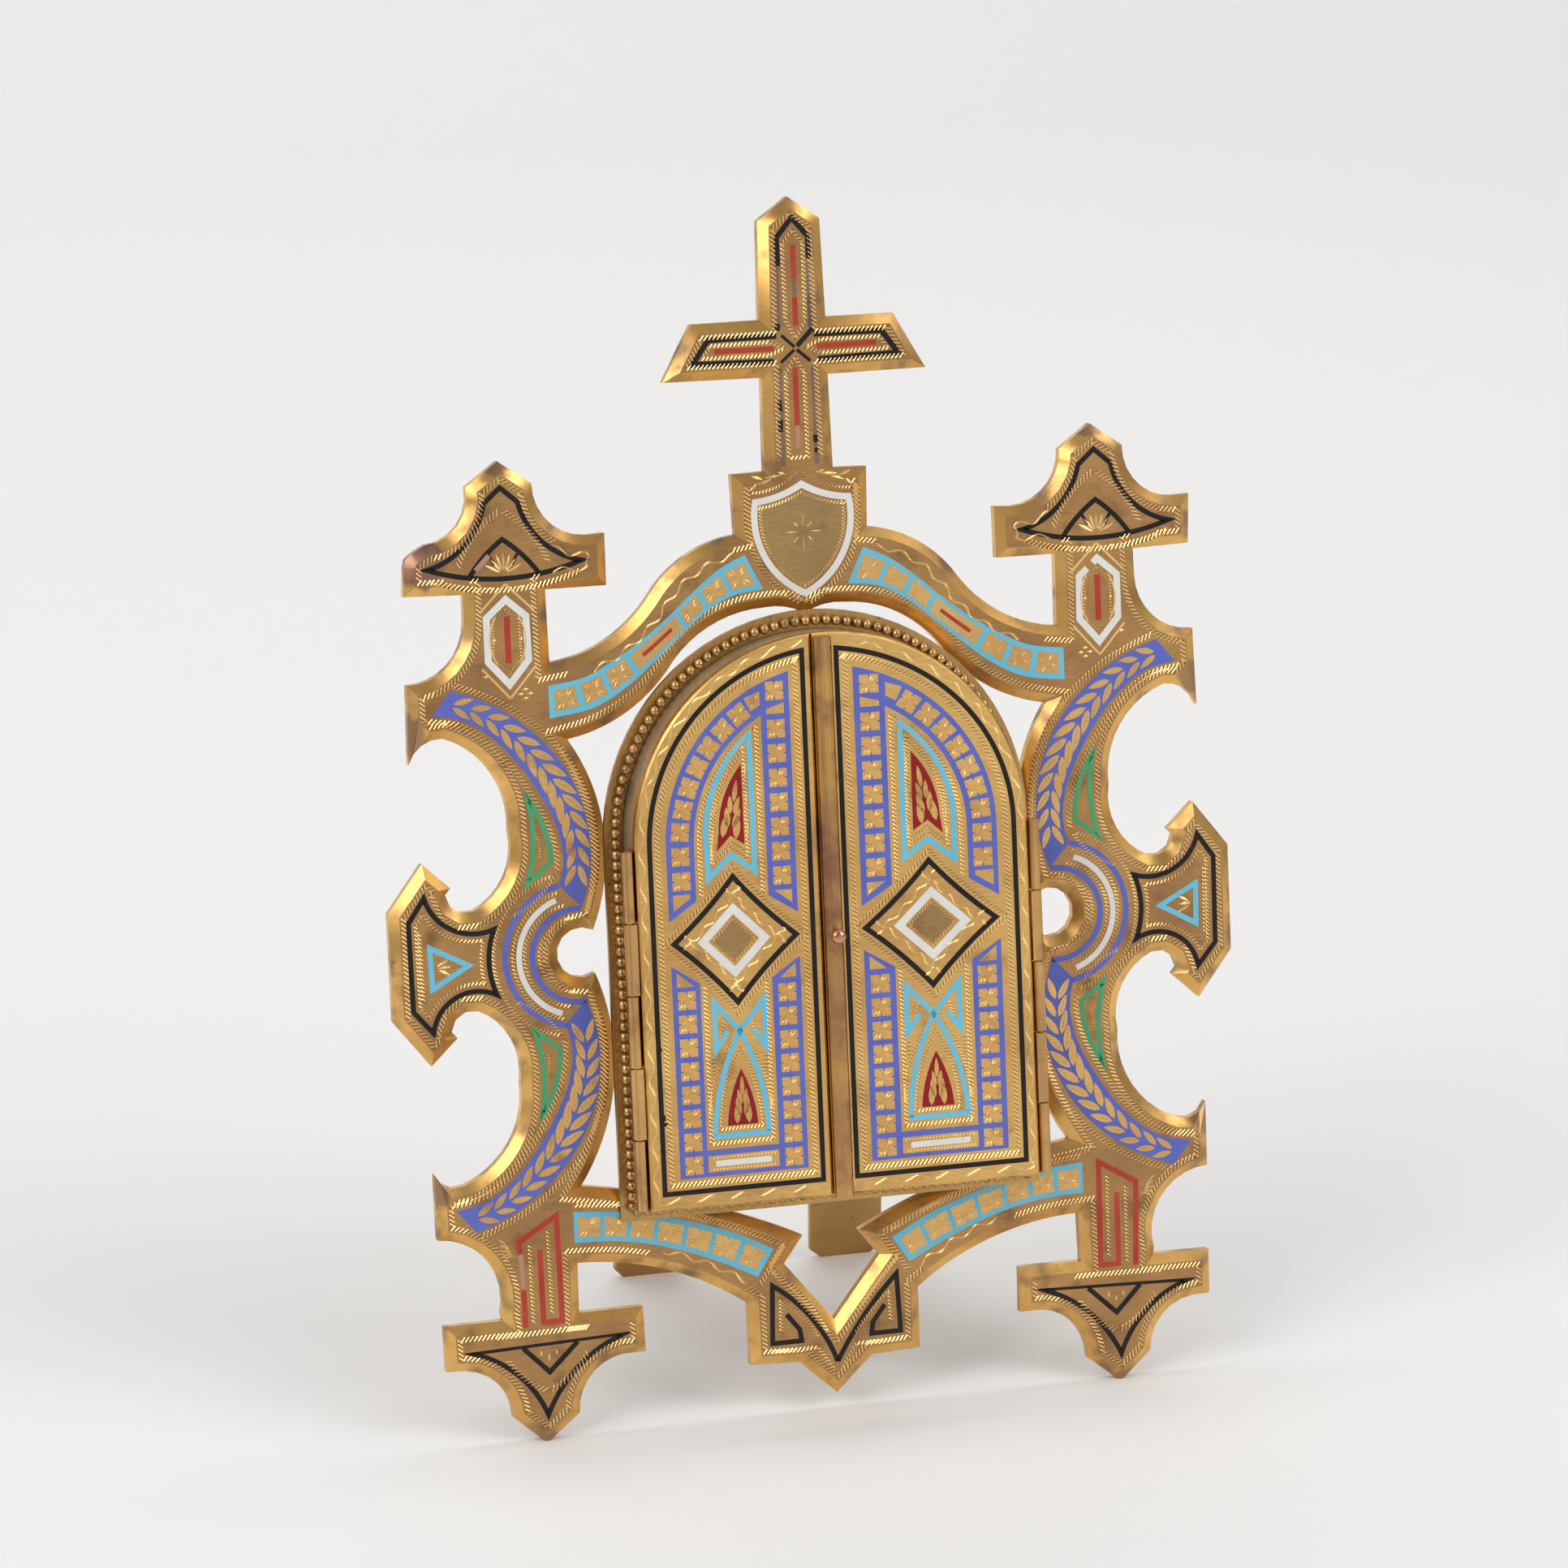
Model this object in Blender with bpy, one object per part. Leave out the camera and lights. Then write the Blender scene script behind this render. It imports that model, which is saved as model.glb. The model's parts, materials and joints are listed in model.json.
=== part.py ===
"""Standing icon of gilt bronze: an openwork plate, an arched case with two doors and a folding leg.

The plate is drawn flat, with x to the right, z up along the plate and y going back into it, and the
whole piece is then leant back until its two pointed feet and the leg behind stand on the floor.
"""
import math

import bmesh
import bpy
from mathutils import Matrix, Vector
from mathutils.geometry import delaunay_2d_cdt

MM = 0.001

# The openwork plate
PLATE_HEIGHT = 280.0 * MM        # tips of the feet to the tip of the cross, along the plate
PLATE_WIDTH = 200.0 * MM         # bracket to bracket
PLATE_THICK = 4.0 * MM
PLATE_BEVEL = 2.2 * MM           # width of the sloping rim seen from the front
PLATE_BEVEL_DROP = 1.6 * MM      # how far the rim falls back
LEAN = math.radians(8.7)         # backward lean of the plate
FOOT_FLAT = 0.9 * MM             # the foot tips are rubbed off this far up

# The case and what it carries
GAP = 0.3 * MM                   # space between neighbouring pieces
FLANGE_LAP = 1.1 * MM            # the case's sheet laps over the plate's opening
FLANGE_DROP = 5.9 * MM           # and this far over the top edge of the lower bands
SHEET_THICK = 1.2 * MM
LEDGE = 4.3 * MM                 # sheet standing out around the case wall
BEAD_RADIUS = 1.2 * MM
BEAD_PITCH = 2.45 * MM
BEAD_CLEAR = 0.8 * MM            # case wall to beads
BEAD_SIDES = 5
BEAD_NECK = 0.62                 # share of a bead's radius left between two beads
CASE_DEPTH = 9.2 * MM            # height of the case wall above the sheet
CASE_WALL = 1.4 * MM
ARCH_STEPS = 36

# The picture and its moulding
SIGHT_BAND = 9.1 * MM            # width of the moulding's face
MOULDING_SET = 0.8 * MM          # moulding face below the rim of the case
MOULDING_SLOPE = 0.9 * MM
LIP_WIDTH = 1.8 * MM
LIP_DROP = 0.7 * MM
LIP_THICK = 1.5 * MM
REBATE = 1.7 * MM                # the picture's edge goes under the lip this far
PICTURE_THICK = 4.2 * MM
PICTURE_CROWN = 1.3 * MM

# The doors
DOOR_THICK = 2.8 * MM
DOOR_OVERHANG = 0.3 * MM
DOOR_BEVEL = 0.5 * MM
MEETING_X = -3.25 * MM           # line where the doors meet, left of the middle
STRIP_WIDTH = 4.4 * MM
STRIP_HEIGHT = 2.0 * MM
STRIP_SHORT = 1.0 * MM           # the strip stops short of the arch
KNOB_RADIUS = 1.75 * MM
KNOB_NECK = 0.8 * MM
KNOB_SHARE = 0.47                # place of the knob on the strip, from its foot
KNUCKLE_RADIUS = 1.4 * MM
KNUCKLE_COUNT = 5
KNUCKLE_GAP = 0.35 * MM
PIN_RADIUS = 0.6 * MM
PIN_CLEAR = 0.15 * MM
PIN_SHORT = 0.5 * MM           # the pins end inside their end knuckles
LEAF_THICK = 0.8 * MM
LEAF_DEPTH = 4.5 * MM

# The folding leg
LEG_SPREAD = math.radians(31.5)  # angle between the leg and the plate
LEG_OFFSET = 6.0 * MM            # the leg sits a little to the right of the middle
LEG_THICK = 1.5 * MM
LEG_FOOT_OUT = 34.5 * MM         # outer edge of each foot from the leg's middle line
LEG_LIMB = 18.5 * MM             # width of each limb
LEG_SPLIT = 45.0 * MM            # where the limbs part, below the hinge
LEG_CORNER = 3.0 * MM
LEG_SHOULDER_CLEAR = 1.5 * MM
LEG_BEVEL = 0.25 * MM
LEG_HINGE_DROP = 15.0 * MM       # hinge below the top of the case
LEG_AXIS_BACK = 1.75 * MM        # hinge axis behind the plate's back
LEG_BARREL_RADIUS = 2.0 * MM
LEG_BARREL = 14.0 * MM
LEG_PIN_RADIUS = 0.9 * MM
LUG_WIDTH = 4.0 * MM
LUG_HEIGHT = 7.0 * MM
BASE_HEIGHT = 14.0 * MM

# The outline was drawn at these sizes and is stretched to the plate's own
DRAWN_HEIGHT = 280.0
DRAWN_HALF = 100.2
DRAWN_OPENING_HALF = 49.2        # half width of the opening where the scrolls come closest
DRAWN_CUSP = 185.7               # height of the cusp under the shield
DRAWN_BAND = 55.9                # top edge of the lower bands beside the case
DRAWN_WING_MIDDLE = 112.3        # the wings are even above and below this height
ARC_STEP = 3.0                   # length of one chord on the drawing

# Sizes that follow from the ones above
SCALE_X = PLATE_WIDTH / 2.0 / DRAWN_HALF
SCALE_Z = PLATE_HEIGHT / DRAWN_HEIGHT
FLANGE_HALF = DRAWN_OPENING_HALF * SCALE_X + FLANGE_LAP
CASE_HALF = FLANGE_HALF - LEDGE
CASE_SPRING = DRAWN_CUSP * SCALE_Z + FLANGE_LAP - FLANGE_HALF
CASE_BOTTOM = DRAWN_BAND * SCALE_Z - FLANGE_DROP + LEDGE
SHEET_FRONT = -GAP - SHEET_THICK
ON_SHEET = SHEET_FRONT - GAP
CASE_RIM = ON_SHEET - CASE_DEPTH
BEAD_HALF = CASE_HALF + BEAD_CLEAR + BEAD_RADIUS
BEAD_Y = ON_SHEET - BEAD_RADIUS
DOOR_HALF = CASE_HALF + DOOR_OVERHANG
DOOR_BACK = CASE_RIM - GAP
DOOR_FRONT = DOOR_BACK - DOOR_THICK
HINGE_X = DOOR_HALF + GAP + KNUCKLE_RADIUS
HINGE_Y = DOOR_BACK - KNUCKLE_RADIUS
LUG_RADIUS = LUG_HEIGHT / 2.0
BASE_BACK = SHEET_THICK
LEG_AXIS_Y = PLATE_THICK + LEG_AXIS_BACK
LEG_HINGE_Z = CASE_SPRING + CASE_HALF - LEG_HINGE_DROP
LEG_HEEL = (LEG_AXIS_Y - BASE_BACK - GAP - LEG_THICK / 2.0 * math.cos(LEG_SPREAD)) / math.sin(LEG_SPREAD)
FLOOR_NORMAL = Vector((0.0, -math.sin(LEAN), math.cos(LEAN)))
FLOOR_HEIGHT = FOOT_FLAT - PLATE_THICK * math.sin(LEAN)

GILT = (0.83, 0.55, 0.17)
DARK_GILT = (0.47, 0.31, 0.13)
BRASS = (0.55, 0.38, 0.16)
PICTURE = (0.10, 0.07, 0.05)


def arc(start, end, rise):
    """Points from start towards end on an arc that rises to the left of the way by rise."""
    start, end = Vector(start), Vector(end)
    chord = end - start
    if rise == 0.0:
        return [start]
    half_turn = 2.0 * math.atan2(2.0 * abs(rise), chord.length)
    radius = chord.length / (2.0 * math.sin(half_turn)) if half_turn != math.pi / 2 else chord.length / 2
    steps = max(2, math.ceil(2.0 * half_turn * abs(radius) / ARC_STEP))
    side = Vector((-chord.y, chord.x)).normalized() * (1.0 if rise > 0.0 else -1.0)
    middle = (start + end) / 2.0
    centre = middle - side * (radius * math.cos(half_turn))
    points = []
    for step in range(steps):
        turn = half_turn * (2.0 * step / steps - 1.0)
        along = chord.normalized() * (radius * math.sin(turn))
        points.append(centre + along + side * (radius * math.cos(turn)))
    return points


def walk(corners):
    """Points along a line of corners (x, height, rise of the arc to the next corner)."""
    points = []
    for (x, z, rise), (next_x, next_z, _) in zip(corners, corners[1:]):
        points += arc((x, z), (next_x, next_z), rise)
    points.append(Vector(corners[-1][:2]))
    return points


def wing_corners():
    """Upper half of a wing, from the stem round the bite to the bracket."""
    return [
        (79.5, 189.0, -4.0), (93.3, 175.7, 0.0), (93.7, 157.9, -1.7), (85.7, 163.3, -4.6),
        (71.5, 141.0, -3.4), (80.5, 123.7, -1.9), (86.9, 127.9, 0.0), (85.6, 129.4, 0.0),
        (91.9, 135.3, 0.0), (100.2, 124.6, 0.0)]


def lower_wing_corners():
    """Lower half of a wing: the upper half turned over, down to the lower horn."""
    turned = []
    upper = wing_corners()[2:]
    for index in range(len(upper) - 1, -1, -1):
        x, z, _ = upper[index]
        rise = upper[index - 1][2] if index else 0.0
        turned.append((x, 2.0 * DRAWN_WING_MIDDLE - z, rise))
    turned[-1] = (92.6, 64.5, 0.0)
    return turned


def outline_corners(worn):
    """Right half of the plate's outer edge, from the tip of the cross down to the lowest point."""
    cross = [(0.0, 280.0, 0.0), (7.3, 274.8, 0.0), (7.8, 252.6, 0.0), (23.8, 252.5, 0.0),
             (31.0, 239.8, 0.0), (7.8, 239.6, 0.0), (8.1, 218.4, 0.0), (16.0, 218.2, 0.0)]
    shoulder = [(15.6, 204.5, 2.8), (37.0, 191.4, -2.8), (60.2, 178.6, 0.0)]
    finial = [(60.4, 195.2, 0.0), (46.2, 195.2, 0.0), (46.1, 207.0, 0.0), (50.5, 206.8, -3.6),
              (62.4, 219.2, 0.0), (70.0, 224.6, 0.0), (77.6, 219.2, -3.6)]
    sound_tip = [(89.2, 206.8, 0.0), (93.4, 207.0, 0.0), (92.9, 195.6, 0.0)]
    worn_tip = [(87.5, 206.9, 0.0), (90.6, 205.2, 0.6), (92.6, 202.0, 0.0), (93.0, 195.6, 0.0)]
    stem = [(79.4, 195.2, 0.0)]
    foot = [(92.5, 49.3, -5.5), (78.6, 31.0, 0.0), (78.4, 29.4, 0.0), (92.1, 29.3, 0.0),
            (92.0, 18.8, 0.0), (88.0, 18.7, -3.2), (76.9, 6.7, 0.0), (69.3, 0.0, 0.0),
            (61.4, 6.3, -3.2), (50.5, 18.9, 0.0), (45.2, 18.9, 0.0), (45.4, 29.5, 0.0),
            (60.5, 29.4, 0.0)]
    middle = [(60.3, 41.0, -3.3), (20.5, 27.5, 0.0), (20.4, 13.1, 0.0), (8.7, 12.6, 0.0),
              (0.0, 4.6, 0.0)]
    tip = worn_tip if worn else sound_tip
    return cross + shoulder + finial + tip + stem + wing_corners() + lower_wing_corners() + foot + middle


def opening_corners():
    """Right half of the middle opening, from the cusp under the shield down to the V."""
    return [(0.0, 185.7, 0.8), (9.5, 187.6, 3.3), (33.0, 174.8, -2.6), (56.9, 161.0, -5.6),
            (53.0, 117.2, 8.7), (53.0, 107.4, -6.2), (58.6, 58.7, -2.1), (6.8, 42.2, 0.0),
            (11.5, 36.0, 0.0), (0.0, 21.8, 0.0)]


def stretched(point):
    """A point of the drawing at the plate's own size."""
    return Vector((point.x * SCALE_X, point.y * SCALE_Z))


def whole(right, left):
    """A closed ring, clockwise, from a right half and the half that is mirrored to the left."""
    mirrored = [Vector((-p.x, p.y)) for p in reversed(left[1:-1])]
    return [stretched(p) for p in right + mirrored]


def to_edge(point, start, end):
    """Distance of a point from the line between two others."""
    along = end - start
    share = max(0.0, min(1.0, (point - start).dot(along) / along.length_squared))
    return (point - start - along * share).length


def inset(ring, width):
    """The ring moved in by width, without the points that would fold over one another."""
    moved = []
    count = len(ring)
    for index in range(count):
        before, here, after = ring[index - 1], ring[index], ring[(index + 1) % count]
        first, second = (here - before).normalized(), (after - here).normalized()
        inward = Vector((first.y + second.y, -first.x - second.x)).normalized()
        moved.append(here + inward * (width / max(inward.dot(Vector((first.y, -first.x))), 0.2)))
    kept = []
    for point in moved:
        nearest = min(to_edge(point, ring[i - 1], ring[i]) for i in range(count))
        if nearest > 0.97 * width:
            kept.append(point)
    return kept


def inside(point, ring):
    """Whether a point lies within a ring."""
    found = False
    for start, end in zip(ring, ring[1:] + ring[:1]):
        if (start.y > point.y) != (end.y > point.y):
            if point.x < start.x + (point.y - start.y) * (end.x - start.x) / (end.y - start.y):
                found = not found
    return found


def add_flat(mesh, rings, edge, holes):
    """Fill the flat area between rings with triangles; each ring comes with its depth."""
    points, depths, edges = [], [], []
    for ring, depth in rings:
        base = len(points)
        points += [p / MM for p in ring]
        depths += [depth] * len(ring)
        edges += [(base + i, base + (i + 1) % len(ring)) for i in range(len(ring))]
    flat, _, faces, sources, _, _ = delaunay_2d_cdt(points, edges, [], 0, 1e-5)
    verts = []
    for point, source in zip(flat, sources):
        verts.append(mesh.verts.new((point.x * MM, depths[source[0]], point.y * MM)))
    for face in faces:
        middle = sum((flat[i] for i in face), Vector((0.0, 0.0))) / len(face) * MM
        if inside(middle, edge) and not any(inside(middle, hole) for hole in holes):
            mesh.faces.new([verts[i] for i in face])


def close_and_turn(mesh):
    """Merge the seams and turn every face outwards."""
    bmesh.ops.remove_doubles(mesh, verts=mesh.verts[:], dist=1e-7)
    loose = [vert for vert in mesh.verts if not vert.link_faces]
    bmesh.ops.delete(mesh, geom=loose, context="VERTS")
    bmesh.ops.recalc_face_normals(mesh, faces=mesh.faces[:])


def plate_mesh(edge, holes, thick, bevel, drop):
    """A flat plate with a bevelled front edge, its front at y = 0, around any holes."""
    mesh = bmesh.new()
    rings = [(edge, drop), (inset(edge, bevel), 0.0)]
    for hole in holes:
        rings += [(hole, drop), (inset(hole[::-1], bevel), 0.0)]
    add_flat(mesh, rings, edge, holes)
    rim = [e for e in mesh.edges if e.is_boundary]
    walls = bmesh.ops.extrude_edge_only(mesh, edges=rim)["geom"]
    for vert in [item for item in walls if isinstance(item, bmesh.types.BMVert)]:
        vert.co.y = thick
    add_flat(mesh, [(ring, thick) for ring in [edge] + holes], edge, holes)
    close_and_turn(mesh)
    return mesh


def prism(edge, holes, thick):
    """A flat plate with square edges, its front at y = 0."""
    mesh = bmesh.new()
    add_flat(mesh, [(ring, 0.0) for ring in [edge] + holes], edge, holes)
    rim = [e for e in mesh.edges if e.is_boundary]
    walls = bmesh.ops.extrude_edge_only(mesh, edges=rim)["geom"]
    for vert in [item for item in walls if isinstance(item, bmesh.types.BMVert)]:
        vert.co.y = thick
    add_flat(mesh, [(ring, thick) for ring in [edge] + holes], edge, holes)
    close_and_turn(mesh)
    return mesh


def cut_floor(mesh, normal, height):
    """Cut away what lies below a plane through height along normal, and close the cuts."""
    geometry = mesh.verts[:] + mesh.edges[:] + mesh.faces[:]
    bmesh.ops.bisect_plane(mesh, geom=geometry, plane_co=normal * height, plane_no=normal,
                           clear_inner=True)
    bmesh.ops.holes_fill(mesh, edges=[e for e in mesh.edges if e.is_boundary])
    bmesh.ops.recalc_face_normals(mesh, faces=mesh.faces[:])


def arch_ring(half, depth):
    """A closed arched ring of the case at a half width, counter-clockwise, at a depth."""
    low = CASE_BOTTOM + (CASE_HALF - half)
    ring = [(-half, depth, low), (half, depth, low)]
    for step in range(ARCH_STEPS + 1):
        turn = math.pi * step / ARCH_STEPS
        ring.append((half * math.cos(turn), depth, CASE_SPRING + half * math.sin(turn)))
    return ring


def loft(rings, closed, capped):
    """Skin a row of rings that have the same number of points."""
    mesh = bmesh.new()
    rows = [[mesh.verts.new(point) for point in ring] for ring in rings]
    pairs = list(zip(rows, rows[1:]))
    if closed:
        pairs.append((rows[-1], rows[0]))
    for first, second in pairs:
        for index in range(len(first)):
            after = (index + 1) % len(first)
            mesh.faces.new((first[index], first[after], second[after], second[index]))
    if capped:
        mesh.faces.new(rows[0])
        mesh.faces.new(rows[-1][::-1])
    bmesh.ops.recalc_face_normals(mesh, faces=mesh.faces[:])
    return mesh


def bead_path():
    """Middle line of the bead border as pieces: start, length, and a point for a way along it."""
    half = BEAD_HALF
    low = CASE_BOTTOM + (CASE_HALF - half)
    straight = CASE_SPRING - low
    length = 2.0 * half + 2.0 * straight + math.pi * half
    def point_at(way):
        way %= length
        if way < 2.0 * half:
            return Vector((-half + way, 0.0, low))
        way -= 2.0 * half
        if way < straight:
            return Vector((half, 0.0, low + way))
        way -= straight
        if way < math.pi * half:
            turn = way / half
            return Vector((half * math.cos(turn), 0.0, CASE_SPRING + half * math.sin(turn)))
        return Vector((-half, 0.0, CASE_SPRING - (way - math.pi * half)))
    return length, point_at


def bead_mesh():
    """The bead border as one chain: necks and bellies with few sides around the path."""
    length, point_at = bead_path()
    count = round(length / BEAD_PITCH)
    pitch = length / count
    shift = pitch / 2.0
    rings = []
    for index in range(2 * count):
        way = shift + index * pitch / 2.0
        radius = BEAD_RADIUS * (1.0 if index % 2 == 0 else BEAD_NECK)
        ahead = (point_at(way + pitch / 4.0) - point_at(way - pitch / 4.0)).normalized()
        across = Vector((ahead.z, 0.0, -ahead.x))
        ring = []
        for side in range(BEAD_SIDES):
            turn = math.tau * (side + 0.25) / BEAD_SIDES
            offset = across * math.cos(turn) + Vector((0.0, 1.0, 0.0)) * math.sin(turn)
            centre = point_at(way) + Vector((0.0, BEAD_Y, 0.0))
            ring.append(centre + offset * radius)
        rings.append(ring)
    return loft(rings, True, False)


def cylinder(radius, low, high, sides, axis_x=0.0, axis_y=0.0):
    """A round bar along z."""
    rings = []
    for height in (low, high):
        ring = []
        for side in range(sides):
            turn = math.tau * side / sides
            ring.append((axis_x + radius * math.cos(turn), axis_y + radius * math.sin(turn), height))
        rings.append(ring)
    return loft(rings, False, True)


def block(low, high):
    """A square block between two corners."""
    mesh = bmesh.new()
    bmesh.ops.create_cube(mesh, size=1.0)
    size = Vector(high) - Vector(low)
    middle = (Vector(high) + Vector(low)) / 2.0
    bmesh.ops.scale(mesh, vec=size, verts=mesh.verts[:])
    bmesh.ops.translate(mesh, vec=middle, verts=mesh.verts[:])
    return mesh


def material(name, colour, roughness, metallic):
    made = bpy.data.materials.get(name)
    if made is None:
        made = bpy.data.materials.new(name)
        made.use_nodes = True
        shader = made.node_tree.nodes["Principled BSDF"]
        shader.inputs["Base Color"].default_value = (*colour, 1.0)
        shader.inputs["Roughness"].default_value = roughness
        shader.inputs["Metallic"].default_value = metallic
        made.diffuse_color = (*colour, 1.0)
    return made


def gilt():
    return material("gilt_bronze", GILT, 0.32, 1.0)


def dark_gilt():
    return material("darkened_gilt", DARK_GILT, 0.45, 1.0)


def brass():
    return material("brass", BRASS, 0.5, 1.0)


def as_object(name, mesh, finish, parent, pivot=Vector((0.0, 0.0, 0.0))):
    """Turn a bmesh into an object under a parent that stands at pivot."""
    bmesh.ops.translate(mesh, vec=-pivot, verts=mesh.verts[:])
    data = bpy.data.meshes.new(name)
    mesh.to_mesh(data)
    mesh.free()
    data.materials.append(finish)
    data.shade_smooth()
    data.set_sharp_from_angle(angle=math.radians(32.0))
    made = bpy.data.objects.new(name, data)
    made.parent = parent
    bpy.context.collection.objects.link(made)
    return made


def empty(name, parent, place):
    made = bpy.data.objects.new(name, None)
    made.parent = parent
    made.location = place
    bpy.context.collection.objects.link(made)
    return made


def combine(target, tool, operation):
    """Join a tool to an object or cut it out, and hide the tool."""
    cut = target.modifiers.new(operation.lower(), "BOOLEAN")
    cut.operation = operation
    cut.object = tool
    tool.hide_render = True
    tool.display_type = "WIRE"


def make_frame_plate(root):
    """The openwork plate, with its two foot tips rubbed flat."""
    right, left = walk(outline_corners(False)), walk(outline_corners(True))
    opening = walk(opening_corners())
    edge = whole(right, left)
    hole = whole(opening, opening)
    mesh = plate_mesh(edge, [hole], PLATE_THICK, PLATE_BEVEL, PLATE_BEVEL_DROP)
    cut_floor(mesh, FLOOR_NORMAL, FLOOR_HEIGHT)
    as_object("frame_plate", mesh, gilt(), root)


def make_case(root):
    """The flat sheet behind, the bead border, the wall, the moulding and the picture."""
    sheet = [arch_ring(FLANGE_HALF, -GAP), arch_ring(FLANGE_HALF, SHEET_FRONT)]
    as_object("back_plate", loft(sheet, False, True), dark_gilt(), root)
    as_object("bead_border", bead_mesh(), gilt(), root)
    low, top, inner = ON_SHEET, CASE_RIM, CASE_HALF - CASE_WALL
    wall = [arch_ring(CASE_HALF, low), arch_ring(CASE_HALF, top), arch_ring(inner, top),
            arch_ring(inner, low)]
    as_object("case_band", loft(wall, True, False), dark_gilt(), root)
    outer = inner - GAP
    sight = outer - SIGHT_BAND
    face = CASE_RIM + MOULDING_SET
    lip = face + MOULDING_SLOPE + LIP_DROP
    under = lip + LIP_THICK
    profile = [(outer, low), (outer, face), (sight + LIP_WIDTH, face + MOULDING_SLOPE),
               (sight + LIP_WIDTH * 0.8, lip), (sight + 0.3 * LIP_WIDTH, lip + 0.15 * LIP_THICK),
               (sight, lip + 0.45 * LIP_THICK), (sight, under), (sight + REBATE, under),
               (sight + REBATE, low)]
    as_object("sight_frame", loft([arch_ring(*spot) for spot in profile], True, False), gilt(), root)
    edge = sight + REBATE - GAP
    rim = low - PICTURE_THICK
    crown = [(edge, low), (edge, rim), (sight - 0.2 * MM, rim)]
    for share in (0.985, 0.955, 0.88, 0.65):
        rise = PICTURE_CROWN * math.sqrt(1.0 - ((share - 0.65) / 0.36) ** 2)
        crown.append(((sight - 0.2 * MM) * share, rim - rise))
    picture = loft([arch_ring(*spot) for spot in crown], False, True)
    as_object("porcelain_plaque", picture, material("porcelain", PICTURE, 0.12, 0.0), root)


def door_ring(left):
    """The edge of one door, clockwise seen from the front."""
    half = DOOR_HALF
    low = CASE_BOTTOM - DOOR_OVERHANG
    start = MEETING_X - GAP / 2.0 if left else MEETING_X + GAP / 2.0
    ring = []
    first = math.acos(start / half)
    last = math.pi if left else 0.0
    for step in range(ARCH_STEPS // 2 + 1):
        turn = first + (last - first) * step / (ARCH_STEPS // 2)
        ring.append(Vector((half * math.cos(turn), CASE_SPRING + half * math.sin(turn))))
    outer = -half if left else half
    ring += [Vector((outer, low)), Vector((start, low))]
    return ring[::-1] if left else ring


def knuckle_ring(tab):
    """Section through a knuckle, hinge axis at the origin: x outwards, y to the front.

    A knuckle of the case has a long tab back along the wall, one of a door a short pad.
    """
    radius = KNUCKLE_RADIUS
    if tab:
        wall = -radius - DOOR_OVERHANG
        ring = [Vector((wall, -LEAF_DEPTH)), Vector((wall, HINGE_Y - DOOR_BACK - GAP)),
                Vector((-radius, HINGE_Y - DOOR_BACK)), Vector((-radius, 0.0))]
        first, last = math.pi, math.acos(LEAF_THICK / radius - 1.0) - math.tau
        tail = [Vector((LEAF_THICK - radius, -LEAF_DEPTH))]
        last = -last - math.tau
    else:
        pad = 0.9 * radius
        ring = [Vector((-radius, -pad)), Vector((-radius, pad))]
        first, last = math.pi - math.asin(0.9), math.asin(0.9) - math.pi
        tail = []
    for step in range(13):
        turn = first + (last - first) * step / 12.0
        ring.append(Vector((radius * math.cos(turn), radius * math.sin(turn))))
    return ring + tail


def circle(radius, count):
    """A ring of points round the origin."""
    turns = [math.tau * step / count for step in range(count)]
    return [Vector((radius * math.cos(turn), radius * math.sin(turn))) for turn in turns]


def hinge(side, root, swing, pivot):
    """The knuckles of one door, by turns on the case and on the door, and the pin through them."""
    sign = -1.0 if side == "left" else 1.0
    pitch = (CASE_SPRING - CASE_BOTTOM) / KNUCKLE_COUNT
    bore = circle(PIN_RADIUS + PIN_CLEAR, 10)
    for number in range(KNUCKLE_COUNT):
        on_case = number % 2 == 0
        mesh = prism(knuckle_ring(on_case), [bore], pitch - KNUCKLE_GAP)
        turn = Matrix.Rotation(math.pi / 2.0, 4, "X")
        bmesh.ops.transform(mesh, matrix=Matrix.Diagonal((sign, 1.0, 1.0, 1.0)) @ turn, verts=mesh.verts[:])
        place = Vector((pivot.x, pivot.y, CASE_BOTTOM + KNUCKLE_GAP / 2.0 + number * pitch))
        bmesh.ops.translate(mesh, vec=place, verts=mesh.verts[:])
        bmesh.ops.recalc_face_normals(mesh, faces=mesh.faces[:])
        parent, shift = (root, Vector((0.0, 0.0, 0.0))) if on_case else (swing, pivot)
        as_object(f"knuckle_{side}_{number + 1}", mesh, brass(), parent, shift)
    pin = cylinder(PIN_RADIUS, CASE_BOTTOM + PIN_SHORT, CASE_SPRING - PIN_SHORT, 12)
    bmesh.ops.translate(pin, vec=pivot, verts=pin.verts[:])
    as_object(f"hinge_pin_{side}", pin, brass(), root)


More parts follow.
